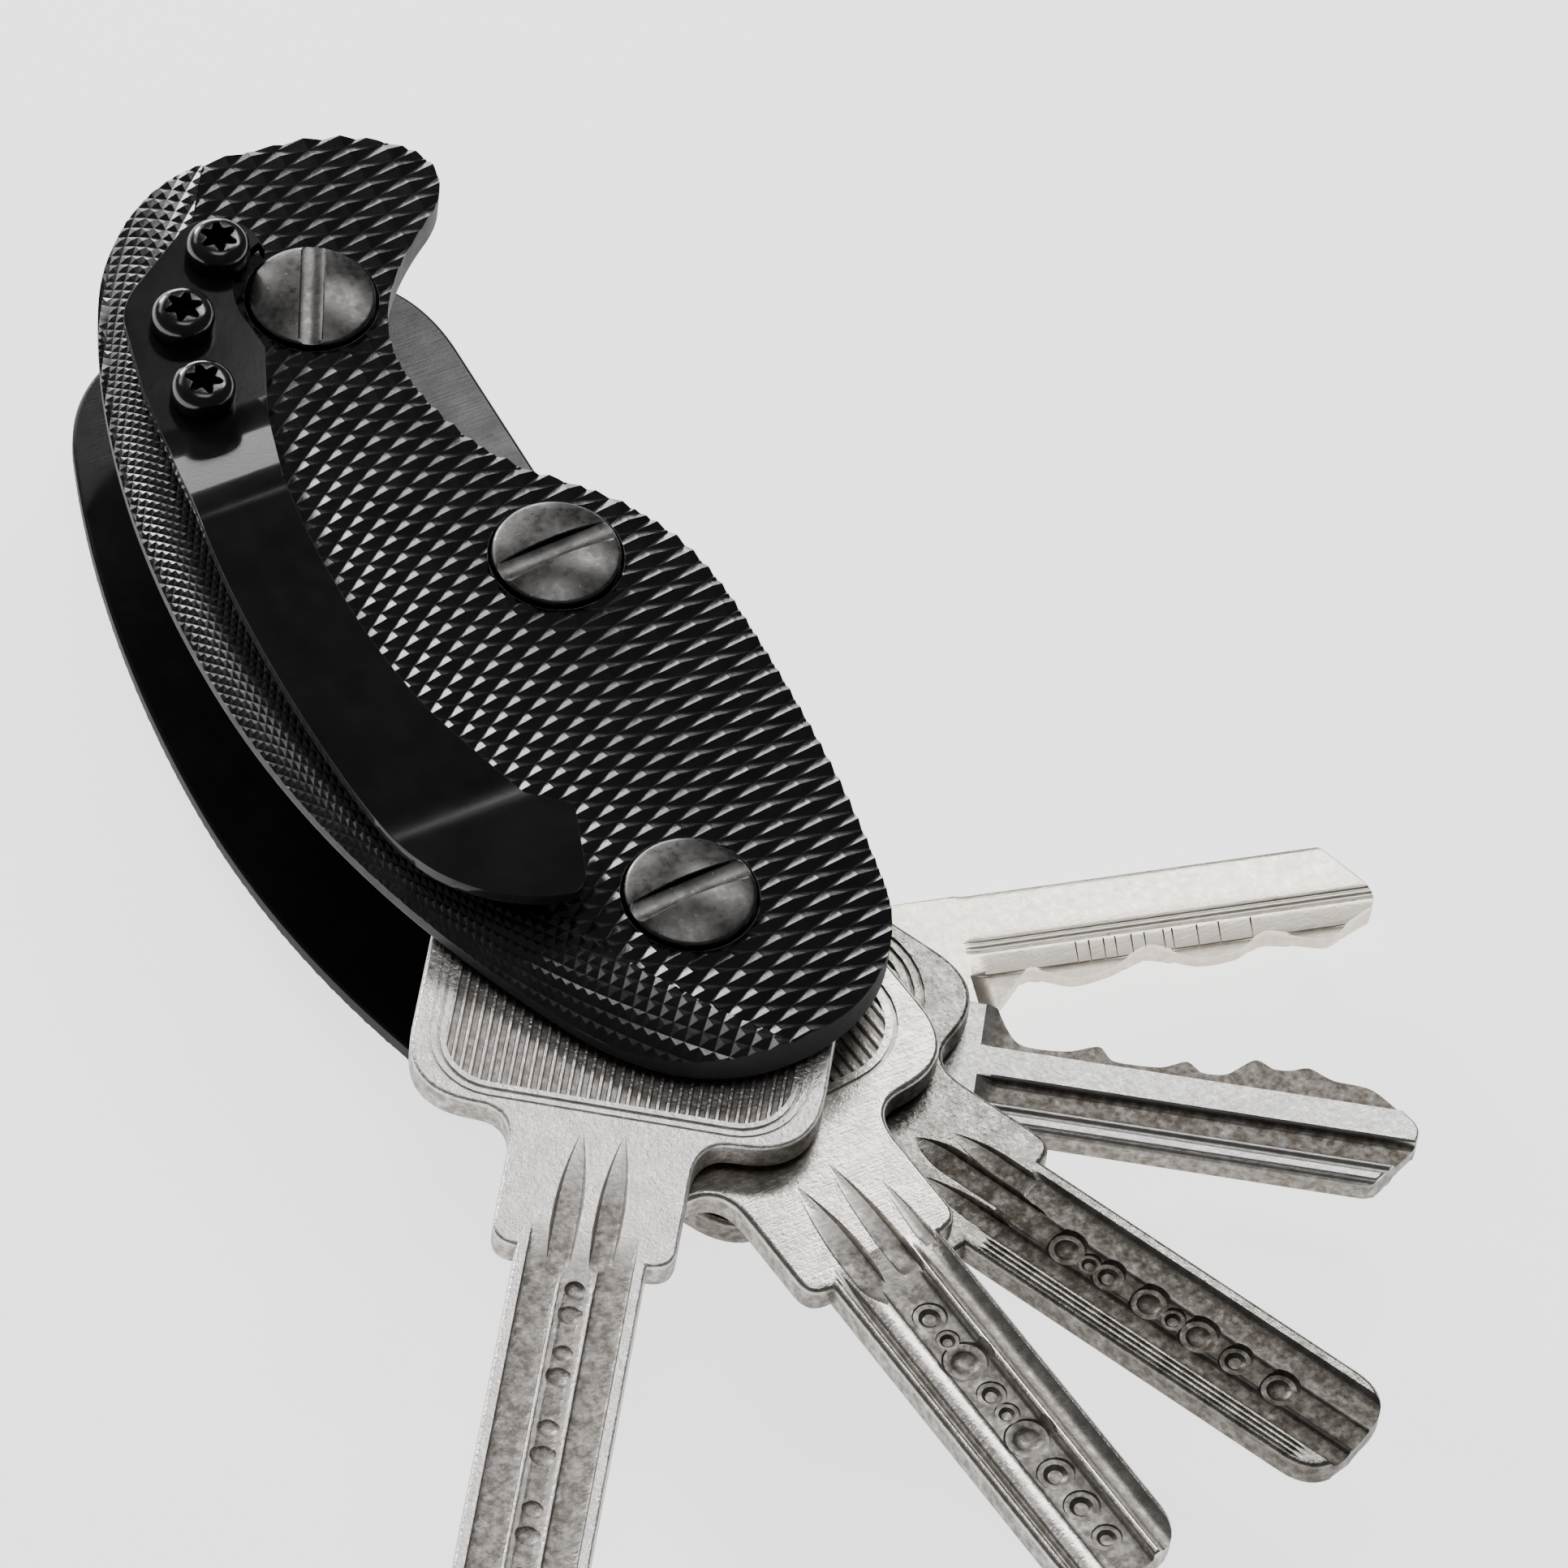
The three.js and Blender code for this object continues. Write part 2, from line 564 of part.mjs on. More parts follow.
function ring(name, post, outer, inner, low, high, look) {
  const body = cylinder(outer, low, high, post.x, post.y);
  const bore = cylinder(inner, low - OVERCUT, high + OVERCUT, post.x, post.y);
  return meshOf(name, body.subtract(bore), look);
}

// The stack on the lower post, from the front plate down: washer, key, washer.
function keyStack() {
  const pieces = [];
  let top = FRONT_INNER_Z - STACK_CLEARANCE;
  for (let i = 0; i <= KEYS.length; i += 1) {
    const low = top - WASHER_THICKNESS;
    const name = `key_washer_${i + 1}`;
    pieces.push(ring(name, LOWER_POST, WASHER_RADIUS, WASHER_BORE_RADIUS, low, top, BRIGHT_STEEL));
    top = low - STACK_CLEARANCE;
    if (i < KEYS.length) {
      pieces.push(keyMesh(KEYS[i], top - KEY_THICKNESS));
      top -= KEY_THICKNESS + STACK_CLEARANCE;
    }
  }
  return pieces;
}

function spacer(name, post) {
  const low = BACK_INNER_Z + STACK_CLEARANCE;
  const high = FRONT_INNER_Z - STACK_CLEARANCE;
  return ring(name, post, SPACER_RADIUS, WASHER_BORE_RADIUS, low, high, BRIGHT_STEEL);
}

// ---- assembly ----

const organiser = new THREE.Group();
organiser.name = 'key_organiser';
organiser.add(
  frontPlate(),
  backPlate(),
  postBarrel('lower_post_barrel', LOWER_POST),
  postBarrel('middle_post_barrel', MIDDLE_POST),
  postBarrel('upper_post_barrel', UPPER_POST),
  slottedScrew('lower_post_screw', LOWER_POST, SLOT_ANGLES.lower),
  slottedScrew('middle_post_screw', MIDDLE_POST, SLOT_ANGLES.middle),
  slottedScrew('upper_post_screw', UPPER_POST, SLOT_ANGLES.upper),
  pocketClip(),
  ...CLIP_SCREWS.map(clipScrew),
  spacer('middle_spacer', MIDDLE_POST),
  spacer('upper_spacer', UPPER_POST),
  ...keyStack(),
);

export default organiser;
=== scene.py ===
"""Looks of the key organiser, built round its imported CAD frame.

Shapes are made in millimetres, in the CAD frame, and scaled to metres last.
"""

import math

import bmesh
import bpy
import numpy as np
from mathutils import Matrix, Vector


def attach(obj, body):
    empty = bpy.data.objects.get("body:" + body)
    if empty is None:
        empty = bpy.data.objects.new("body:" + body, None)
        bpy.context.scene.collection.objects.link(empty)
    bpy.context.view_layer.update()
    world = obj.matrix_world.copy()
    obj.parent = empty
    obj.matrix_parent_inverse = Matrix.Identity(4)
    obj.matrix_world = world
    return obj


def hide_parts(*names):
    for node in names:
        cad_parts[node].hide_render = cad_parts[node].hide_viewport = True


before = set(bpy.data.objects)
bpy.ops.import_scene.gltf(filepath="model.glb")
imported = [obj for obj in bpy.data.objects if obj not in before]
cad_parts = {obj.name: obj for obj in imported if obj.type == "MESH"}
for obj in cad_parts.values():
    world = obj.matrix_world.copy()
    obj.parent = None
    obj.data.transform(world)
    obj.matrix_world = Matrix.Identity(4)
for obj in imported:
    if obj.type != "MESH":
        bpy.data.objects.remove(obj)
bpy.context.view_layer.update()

MM = 0.001
OVER = 1.0  # how far cutting tools reach past the face they cut

# ---- sizes shared with the CAD frame, in millimetres ----
POSTS = {"lower": (0.0, 0.0), "middle": (4.9, 28.2), "upper": (0.0, 54.4)}
SLOT_ANGLES = {"lower": 2, "middle": 2, "upper": 62}
CLIP_SCREWS = {"top": (-4.5, 59.6), "middle": (-9.3, 55.1), "bottom": (-10.8, 49.0)}
BACK_INNER_Z = 3.9
FRONT_INNER_Z = 17.3
FRONT_SEAT_Z = 19.8
PLATE_THICKNESS = 3.0
SEAT_DEPTH = 0.5
SEAT_RADIUS = 4.55
SEAT_RISE = 0.32
PLATE_HOLE_RADIUS = 2.6
HEAD_RADIUS = 4.3
CLIP_TOP_Z = 21.2
CLIP_THICKNESS = 0.9
CLIP_HOLE_RADIUS = 1.35
KEY_THICKNESS = 2.2
KEY_BORE_RADIUS = 2.56
KEY_STEP = 2.6
WASHER_TOP_Z = 17.25
WASHER_THICKNESS = 0.3
WASHER_COUNT = 6
SPACER_BOTTOM_Z = 3.95
SPACER_RADIUS = 4.0
SPACER_BREAK = 0.2
WASHER_RADIUS = 5.0
WASHER_BREAK = 0.06
RING_BORE_RADIUS = 2.6


# ---- mesh helpers ----

def new_object(name, verts, faces):
    mesh = bpy.data.meshes.new(name)
    mesh.from_pydata([tuple(map(float, v)) for v in verts], [], faces)
    obj = bpy.data.objects.new(name, mesh)
    bpy.context.scene.collection.objects.link(obj)
    return obj


def loft(rings, name="tool", closed=False):
    """A closed body through rings of equal length. closed joins the last ring to the first."""
    count = len(rings[0])
    verts = [p for ring in rings for p in ring]
    faces = []
    total = len(rings)
    for r in range(total if closed else total - 1):
        a = r * count
        b = ((r + 1) % total) * count
        for i in range(count):
            j = (i + 1) % count
            faces.append((a + i, a + j, b + j, b + i))
    if not closed:
        faces.append(tuple(reversed(range(count))))
        faces.append(tuple(range(len(verts) - count, len(verts))))
    return new_object(name, verts, faces)


def lathe(profile, at=(0, 0), name="tool", sides=96, closed=False):
    """A turned body from (radius, z) pairs listed from the bottom up."""
    rings = []
    for radius, z in profile:
        ring = []
        for i in range(sides):
            turn = 2 * math.pi * i / sides
            ring.append((at[0] + radius * math.cos(turn), at[1] + radius * math.sin(turn), z))
        rings.append(ring)
    return loft(rings, name, closed)


def slab(outline, low, high, top_round=0.0, low_round=0.0, segments=3, name="tool"):
    """A flat outline raised from low to high, with rounded rims."""
    obj = loft([[(x, y, low) for x, y in outline], [(x, y, high) for x, y in outline]], name)
    for level, size in ((high, top_round), (low, low_round)):
        if not size:
            continue
        bm = bmesh.new()
        bm.from_mesh(obj.data)
        rim = [e for e in bm.edges if all(abs(v.co.z - level) < 1e-6 for v in e.verts)]
        bmesh.ops.bevel(
            bm, geom=rim, offset=size, segments=segments, profile=0.5, affect="EDGES",
            clamp_overlap=True,
        )
        bm.to_mesh(obj.data)
        bm.free()
    return obj


def cut(target, tools, operation="DIFFERENCE"):
    """Applies every tool to the target and removes the tools."""
    for tool in tools:
        modifier = target.modifiers.new("cut", "BOOLEAN")
        modifier.operation = operation
        modifier.solver = "MANIFOLD"
        modifier.object = tool
    bpy.context.view_layer.update()
    depsgraph = bpy.context.evaluated_depsgraph_get()
    mesh = bpy.data.meshes.new_from_object(target.evaluated_get(depsgraph))
    target.modifiers.clear()
    target.data = mesh
    for tool in tools:
        bpy.data.objects.remove(tool)
    return target


def joined(first, others):
    return cut(first, others, "UNION")


def common(first, others):
    return cut(first, others, "INTERSECT")


def mirrored(obj, top):
    """A copy of a tool turned over so that z becomes top - z."""
    mesh = obj.data.copy()
    mesh.transform(Matrix.Translation((0, 0, top)) @ Matrix.Scale(-1, 4, (0, 0, 1)))
    mesh.flip_normals()
    copy = bpy.data.objects.new("tool", mesh)
    bpy.context.scene.collection.objects.link(copy)
    return copy


def piece(obj, name, body, material, nodes, sharp=30.0):
    """Finishes a piece: metres, shading, material, body and the nodes it stands for."""
    obj.name = name
    obj.data.transform(Matrix.Scale(MM, 4))
    obj.data.shade_smooth()
    obj.data.set_sharp_from_angle(angle=math.radians(sharp))
    weighted = obj.modifiers.new("weighted", "WEIGHTED_NORMAL")
    weighted.keep_sharp = True
    bpy.context.view_layer.update()
    depsgraph = bpy.context.evaluated_depsgraph_get()
    obj.data = bpy.data.meshes.new_from_object(obj.evaluated_get(depsgraph))
    obj.modifiers.clear()
    obj.data.name = name
    obj.data.materials.clear()
    obj.data.materials.append(material)
    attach(obj, body)
    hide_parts(*nodes)


# ---- outlines ----

def bezier_path(start, curves, steps):
    """Points along curves, each its controls and its end. A curve of one point is a line."""
    points = [start]
    for curve in curves:
        p0 = np.array(points[-1], float)
        if len(curve) == 1:
            points.append(curve[0])
            continue
        controls = [p0] + [np.array(c, float) for c in curve]
        degree = len(controls) - 1
        for i in range(1, steps + 1):
            t = i / steps
            point = sum(
                math.comb(degree, k) * (1 - t) ** (degree - k) * t**k * controls[k]
                for k in range(degree + 1)
            )
            points.append(tuple(point))
    return points


def anticlockwise(points):
    """The closed outline without its doubled last point, turned anticlockwise."""
    points = [tuple(map(float, p)) for p in points]
    if math.dist(points[0], points[-1]) < 1e-6:
        points.pop()
    area = sum(
        a[0] * b[1] - b[0] * a[1] for a, b in zip(points, points[1:] + points[:1])
    )
    return points if area > 0 else points[::-1]


def arc(centre, radius, start, end, steps):
    return [
        (
            centre[0] + radius * math.cos(start + (end - start) * i / steps),
            centre[1] + radius * math.sin(start + (end - start) * i / steps),
        )
        for i in range(steps + 1)
    ]


def rounded_rect(x0, x1, y0, y1, corner, steps=8):
    half = math.pi / 2
    return (
        arc((x1 - corner, y1 - corner), corner, 0, half, steps)
        + arc((x0 + corner, y1 - corner), corner, half, 2 * half, steps)
        + arc((x0 + corner, y0 + corner), corner, 2 * half, 3 * half, steps)
        + arc((x1 - corner, y0 + corner), corner, 3 * half, 4 * half, steps)
    )


OUTLINE_STEPS = 26
SHARED_SIDE = [
    ((-19.7, 17), (-16.5, 6), (-11.5, -4)),
    ((-9, -9.4), (-5, -13), (0.5, -13)),
    ((6.5, -13), (11, -9.7), (12, -4)),
    ((13.3, 3), (13.9, 10), (13.9, 20)),
]
FRONT_OUTLINE = anticlockwise(bezier_path((-2, 68), [
    ((-7, 68), (-10.4, 65.3), (-12.7, 60.8)),
    ((-17.2, 52), (-19.7, 41), (-19.7, 29)),
    *SHARED_SIDE,
    ((13.7, 27), (11.6, 30.4), (7.8, 34.2)),
    ((4.5, 37.2), (2.9, 42), (2.9, 46.5)),
    ((2.9, 51), (6, 54.5), (10, 57.3)),
    ((12.6, 59), (13.8, 61.5), (11.8, 63.9)),
    ((9, 67), (4, 68), (-2, 68)),
], OUTLINE_STEPS))
BACK_OUTLINE = anticlockwise(bezier_path((-2, 68), [
    ((-8, 68), (-12, 66), (-14.1, 60.8)),
    ((-17.4, 52), (-19.6, 41), (-19.7, 29)),
    *SHARED_SIDE,
    ((13.9, 58),),
    ((13.9, 63.5), (11.5, 68), (5, 68)),
    ((-2, 68),),
], OUTLINE_STEPS))


# ---- plates ----

ROW = 0.8
COLUMN_ENDS = (15.6, -21)
COLUMN_PLACES = (-20, -10, -5, -1.5, 2.5, 8, 14)
COLUMN_PITCHES = (0.9, 1.0, 1.2, 1.45, 1.67, 2.35, 2.55)
PYRAMID_SLOPE = math.tan(math.radians(29))
BEVEL_CENTRE = (52.3, 28.8)
BEVEL_START = 66.5
BEVEL_WIDTH = 5.5
BEVEL_DROP = 2.0
FINE_SLOPE = 0.44
COARSE_ROWS = [ROW * k for k in range(-18, 88)]
FINE_ROW_ENDS = (-14.5, 70)
FINE_ROW_PLACES = (-14, 2, 8, 56, 66)
FINE_ROW_PITCHES = (0.8, 0.62, 0.48, 0.48, 0.62)
FINE_COLUMN_ENDS = (-21.2, 2.5)
FINE_COLUMN_PLACES = (-20, -13.5, -8, -2)
FINE_COLUMN_PITCHES = (0.29, 0.3, 0.55, 0.8)
BAND_OVERLAP = 0.02
DISC_SIDES = 420
INNER_EDGE = 0.25
BACK_EDGE = 0.5
COLLAR_LOW = 0.5


def shoulder_drop(x, y):
    """How far the outer face has fallen on the sloping shoulder."""
    run = min(max(math.dist((x, y), BEVEL_CENTRE) - BEVEL_START, 0), BEVEL_WIDTH)
    radius = BEVEL_WIDTH / math.sin(2 * math.atan(BEVEL_DROP / BEVEL_WIDTH))
    return radius - math.sqrt(radius**2 - run**2)


def graded(ends, places, pitches):
    """Rising lattice lines, laid from one end to the other, whose spacing changes on the way."""
    start, end = ends
    lines = [start]
    step = 1 if end > start else -1
    while (end - lines[-1]) * step > 0:
        lines.append(lines[-1] + step * float(np.interp(lines[-1], places, pitches)))
    return lines[::step]


def pyramid_block(thickness, columns, rows, slope):
    """A block whose top is a lattice of pyramids between two crossing families of grooves."""
    wide, tall = len(columns), len(rows)
    top, low = [], []
    for j, y in enumerate(rows):
        row = rows[j + 1] - y if j + 1 < tall else y - rows[j - 1]
        for i, x in enumerate(columns):
            pitch = columns[i + 1] - x if i + 1 < wide else x - columns[i - 1]
            depth = slope * row * math.cos(math.atan(row / pitch))
            z = thickness - shoulder_drop(x, y)
            if (i + j) % 2 == 0:
                z -= depth
            top.append((x, y, z))
            low.append((x, y, -OVER))
    base = len(top)
    faces = []
    for j in range(tall - 1):
        for i in range(wide - 1):
            a = j * wide + i
            b, c, d = a + 1, a + wide + 1, a + wide
            if (i + j) % 2 == 0:
                faces += [(a, b, c), (a, c, d)]
            else:
                faces += [(a, b, d), (b, c, d)]
            faces.append((base + a, base + d, base + c, base + b))
    rim = list(range(wide))
    rim += [j * wide + wide - 1 for j in range(1, tall)]
    rim += [(tall - 1) * wide + i for i in range(wide - 2, -1, -1)]
    rim += [j * wide for j in range(tall - 2, 0, -1)]
    for a, b in zip(rim, rim[1:] + rim[:1]):
        faces.append((a, base + a, base + b, b))
    block = new_object("tool", top + low, faces)
    point_outwards(block)
    return block


def point_outwards(obj):
    bm = bmesh.new()
    bm.from_mesh(obj.data)
    bmesh.ops.recalc_face_normals(bm, faces=bm.faces)
    bm.to_mesh(obj.data)
    bm.free()


def shoulder_disc(grow):
    """A disc that covers the flat face up to the start of the shoulder."""
    radius = BEVEL_START + grow
    top = PLATE_THICKNESS + 2 * OVER
    return lathe([(radius, -OVER), (radius, top)], BEVEL_CENTRE, sides=DISC_SIDES)


def plate(outline, high, edge):
    """A plate with its inner face on z = 0 and its cut face upwards.

    The flat face has the coarse lattice and the shoulder the fine one. edge rounds the outer rim.
    """
    columns = graded(COLUMN_ENDS, COLUMN_PLACES, COLUMN_PITCHES)
    body = pyramid_block(PLATE_THICKNESS, columns, COARSE_ROWS, PYRAMID_SLOPE)
    blank = slab(outline, 0, high, top_round=edge, low_round=INNER_EDGE)
    body = common(body, [blank, shoulder_disc(BAND_OVERLAP)])
    columns = graded(FINE_COLUMN_ENDS, FINE_COLUMN_PLACES, FINE_COLUMN_PITCHES)
    rows = graded(FINE_ROW_ENDS, FINE_ROW_PLACES, FINE_ROW_PITCHES)
    band = pyramid_block(PLATE_THICKNESS, columns, rows, FINE_SLOPE)
    band = common(band, [slab(outline, 0, high, top_round=edge, low_round=INNER_EDGE)])
    body = joined(body, [cut(band, [shoulder_disc(0)])])
    seat = PLATE_THICKNESS - SEAT_DEPTH
    lip = seat + SEAT_RISE
    above = PLATE_THICKNESS + OVER
    collar = [(SEAT_RADIUS, COLLAR_LOW), (SEAT_RADIUS, lip)]
    body = joined(body, [lathe(collar, at) for at in POSTS.values()])
    tools = []
    for at in POSTS.values():
        mouth = [(HEAD_RADIUS, seat), (SEAT_RADIUS - 0.01, lip), (SEAT_RADIUS + 0.1, above)]
        tools.append(lathe(mouth, at))
        tools.append(lathe([(PLATE_HOLE_RADIUS, -OVER), (PLATE_HOLE_RADIUS, above)], at))
    return cut(body, tools)


# ---- screws ----

DOME_HEIGHT = 0.7
RIM_HEIGHT = 0.7
SLOT_WIDTH = 1.55
SLOT_BREAK = 0.09
SHANK_RADIUS = 1.45
SHANK_LENGTH = 11.0
DOME_SPHERE = (HEAD_RADIUS**2 + DOME_HEIGHT**2) / (2 * DOME_HEIGHT)
BARREL_RADIUS = 2.5
BARREL_BORE = 1.55
BARREL_BORE_FLOOR = 5.0
BARREL_TOP_Z = 19.3
REAR_HEAD_HEIGHT = 1.4
LOBE_RADIUS = 0.98
LOBE_SWING = 0.24
SOCKET_DEPTH = 1.4
BUTTON_HEIGHT = 2.0


def dome_z(radius):
    """Height of the domed head above its seat."""
    fall = DOME_SPHERE - math.sqrt(DOME_SPHERE**2 - min(radius, HEAD_RADIUS) ** 2)
    return RIM_HEIGHT + DOME_HEIGHT - fall


def slotted_screw(at, angle):
    """A domed head with one straight slot whose edges are slightly broken, and a plain shank."""
    profile = [(SHANK_RADIUS, -SHANK_LENGTH), (SHANK_RADIUS, -0.1), (4.2, -0.001), (4.28, 0.06)]
    profile += [(HEAD_RADIUS, 0.18), (HEAD_RADIUS, RIM_HEIGHT - 0.14), (4.27, RIM_HEIGHT - 0.04)]
    profile.append((4.18, dome_z(4.18) - 0.005))
    for radius in np.linspace(4.05, 0.05, 26):
        profile.append((float(radius), dome_z(radius)))
    head = lathe(profile)
    floor = RIM_HEIGHT - 0.02
    half = SLOT_WIDTH / 2
    mouth = half + SLOT_BREAK
    rings = []
    for s in np.linspace(-HEAD_RADIUS - 0.4, HEAD_RADIUS + 0.4, 33):
        edge = max(dome_z(math.hypot(s, half)), floor + 0.16)
        rings.append([
            (s, -half * 0.96, floor + 0.1), (s, -half * 0.6, floor), (s, half * 0.6, floor),
            (s, half * 0.96, floor + 0.1),
            (s, half, edge - 0.05), (s, mouth, edge + 0.015), (s, mouth, edge + 2 * OVER),
            (s, -mouth, edge + 2 * OVER), (s, -mouth, edge + 0.015), (s, -half, edge - 0.05),
        ])
    slot = loft(rings)
    head = cut(head, [slot])
    turn = Matrix.Translation((*at, FRONT_SEAT_Z)) @ Matrix.Rotation(math.radians(angle), 4, "Z")
    head.data.transform(turn)
    return head


def post_barrel(at):
    """A flat rear head with a broken edge, a turned recess line, and the hollow barrel above it."""
    profile = [(0.05, 0.02), (3.2, 0.02), (3.28, 0.06), (3.4, 0.06), (3.48, 0.0), (3.98, 0.0)]
    profile += [(4.18, 0.06), (HEAD_RADIUS, 0.26), (HEAD_RADIUS, 1.3), (4.22, REAR_HEAD_HEIGHT)]
    profile += [(BARREL_RADIUS, REAR_HEAD_HEIGHT), (BARREL_RADIUS, 19.2), (2.4, BARREL_TOP_Z)]
    profile += [(1.65, BARREL_TOP_Z), (BARREL_BORE, 19.2), (BARREL_BORE, BARREL_BORE_FLOOR)]
    profile.append((0.05, BARREL_BORE_FLOOR))
    return lathe(profile, at)


def six_lobe(radius, swing, points=96):
    return [
        (
            (radius + swing * math.cos(6 * turn)) * math.cos(turn),
            (radius + swing * math.cos(6 * turn)) * math.sin(turn),
        )
        for turn in (2 * math.pi * i / points for i in range(points))
    ]


def button_screw(at, turn):
    """A tall button head with a deep six-lobe socket whose mouth is chamfered."""
    profile = [(1.2, -3.5), (1.2, -0.05), (2.05, 0.0), (2.13, 0.08), (2.15, 0.3), (2.15, 1.0)]
    profile += [(2.12, 1.25), (2.02, 1.5), (1.86, 1.72), (1.64, 1.89), (1.4, 1.98)]
    profile += [(1.25, BUTTON_HEIGHT), (0.05, BUTTON_HEIGHT)]
    head = lathe(profile, sides=72)
    lobe = six_lobe(LOBE_RADIUS, LOBE_SWING)
    rings = []
    for z, grow in ((BUTTON_HEIGHT - SOCKET_DEPTH, 1.0), (1.86, 1.0), (2.02, 1.1), (2.6, 1.1)):
        rings.append([(x * grow, y * grow, z) for x, y in lobe])
    head = cut(head, [loft(rings), lathe([(0.62, 0.3), (0.62, 0.8)], sides=24)])
    place = Matrix.Translation((*at, CLIP_TOP_Z)) @ Matrix.Rotation(math.radians(turn), 4, "Z")
    head.data.transform(place)
    return head


def turned_ring(at, outer, inner, low, high, edge):
    """A washer or spacer with broken edges."""
    profile = [(inner, low + edge), (inner + edge, low), (outer - edge, low), (outer, low + edge)]
    profile += [(outer, high - edge), (outer - edge, high)]
    profile += [(inner + edge, high), (inner, high - edge)]
    return lathe(profile, at, closed=True)


# ---- pocket clip ----

CLIP_SIDE = [(64.0, 21.2), (46.0, 21.2), (39.2, 23.8), (10.9, 21.4), (0.5, 23.06)]
CLIP_BEND = 1.5
CLIP_LOBE_RADIUS = 3.2
CLIP_HEAD_GAP = 1


def clip_top_curve():
    """The clip's top face seen from the side, as (y, z) pairs from the tip upwards."""
    points = [CLIP_SIDE[0]]
    for before, corner, after in zip(CLIP_SIDE, CLIP_SIDE[1:], CLIP_SIDE[2:]):
        corner_v = Vector(corner)
        start = corner_v + (Vector(before) - corner_v).normalized() * CLIP_BEND
        end = corner_v + (Vector(after) - corner_v).normalized() * CLIP_BEND
        points += bezier_path(tuple(start), [(corner, tuple(end))], 10)
    points.append(CLIP_SIDE[-1])
    return points[::-1]


def clip_outline():
    top = CLIP_SCREWS["top"]
    points = [(-10.4, 59.6)]
    points += arc(top, CLIP_LOBE_RADIUS, math.pi * 0.63, -math.pi * 0.09, 28)
    points += arc(POSTS["upper"], HEAD_RADIUS + CLIP_HEAD_GAP, math.pi * 0.59, math.pi * 1.03, 24)
    points += [(-5.1, 51.2), (-7.5, 46), (-9.9, 39.2)]
    points += bezier_path((-9.9, 39.2), [((-10.9, 33), (-10.8, 24), (-9, 18))], 20)[1:]
    points += [(-6.5, 10.9), (-4.2, 8.7), (-4.15, 8.3), (-6.1, 3.2)]
    points += bezier_path((-6.1, 3.2), [((-6.8, 1.5), (-7.9, 1.5))], 6)[1:]
    points += bezier_path((-7.9, 1.5), [
        ((-10.5, 2), (-13.2, 4), (-14.8, 7.4)),
        ((-16.3, 11), (-17.2, 18), (-17.2, 27)),
        ((-17.2, 36), (-16, 41), (-14.8, 46)),
    ], 18)[1:]
    points += [(-14.1, 51.2), (-12.9, 56.2)]
    points += bezier_path((-12.9, 56.2), [((-12.6, 58.3), (-10.4, 59.6))], 8)[1:]
    return anticlockwise(points)


def pocket_clip():
    """A flat blank with broken edges, crossed by bend lines and then bent."""
    blank = slab(clip_outline(), 0, CLIP_THICKNESS, top_round=0.17, low_round=0.1, segments=3)
    hole = [(CLIP_HOLE_RADIUS, -OVER), (CLIP_HOLE_RADIUS, 2 * OVER)]
    blank = cut(blank, [lathe(hole, at, sides=32) for at in CLIP_SCREWS.values()])
    curve = clip_top_curve()
    bm = bmesh.new()
    bm.from_mesh(blank.data)
    for y, _ in curve[1:-1]:
        everything = bm.verts[:] + bm.edges[:] + bm.faces[:]
        bmesh.ops.bisect_plane(
            bm, geom=everything, plane_co=(0, y, 0), plane_no=(0, 1, 0), dist=1e-5
        )
    ys = [y for y, _ in curve]
    zs = [z for _, z in curve]
    for v in bm.verts:
        v.co.z += float(np.interp(v.co.y, ys, zs)) - CLIP_THICKNESS
    bm.to_mesh(blank.data)
    bm.free()
    return blank


# ---- keys ----

TROUGH_POINT = 0.8
RIB_FOOT = 0.45
RIB_CREST = (0.58, 0.84)
RIB_CREST_DEPTH = 0.25
MILLED_STEPS = 4


def trough(u0, u1, v, half, depth, run, wall=0.75, end_run=0.0):
    """A groove tool along u, which starts as a point at u0 and is full after run.

    wall is the share of its half width where the wall starts. end_run closes its far end too.
    """
    top = KEY_THICKNESS
    stations = [(u0 + run * t, t) for t in np.linspace(0.02, 1, 12)]
    if end_run:
        stations += [(u1 - end_run * t, t) for t in np.linspace(1, 0.02, 12)]
    else:
        stations.append((u1, 1.0))
    rings = []
    for u, t in stations:
        h = half * math.sin(t * math.pi / 2) ** TROUGH_POINT
        d = depth * t
        rings.append([
            (u, v - h * wall * 0.7, top - d), (u, v + h * wall * 0.7, top - d),
            (u, v + h * wall, top - d * 0.85), (u, v + h, top + 0.02), (u, v + h, top + OVER),
            (u, v - h, top + OVER), (u, v - h, top + 0.02), (u, v - h * wall, top - d * 0.85),
        ])
    return loft(rings)


def milled(u0, u1, cy, run, profile):
    """A tool along u whose floor follows a profile of (offset from cy, depth) pairs.

    It fades in over run.
    """
    top = KEY_THICKNESS
    line = smooth_through(sorted(profile), MILLED_STEPS)
    rings = []
    stations = [(u0 + run * t, math.sin(t * math.pi / 2)) for t in np.linspace(0.02, 1, 9)]
    for u, share in stations + [(u1, 1.0)]:
        ring = [(u, cy + w, top + 0.01 - d * share) for w, d in line]
        ring += [(u, cy + line[-1][0], top + OVER), (u, cy + line[0][0], top + OVER)]
        rings.append(ring)
    return loft(rings)


def ribbed_panel(outline, v0, v1, u0, u1, pitch, depth):
    """The tool for a sunken panel whose ribs run along u."""
    top = KEY_THICKNESS
    ring = []
    v = v0
    while v < v1:
        ring += [(v, top - depth), (v + pitch * RIB_FOOT, top - depth)]
        ring += [(v + pitch * crest, top - depth * RIB_CREST_DEPTH) for crest in RIB_CREST]
        v += pitch
    ring += [(v, top - depth), (v, top + OVER), (v0, top + OVER)]
    block = loft([[(u, y, z) for y, z in ring] for u in (u0, u1)])
    return common(block, [slab(outline, 0, top + 2 * OVER)])


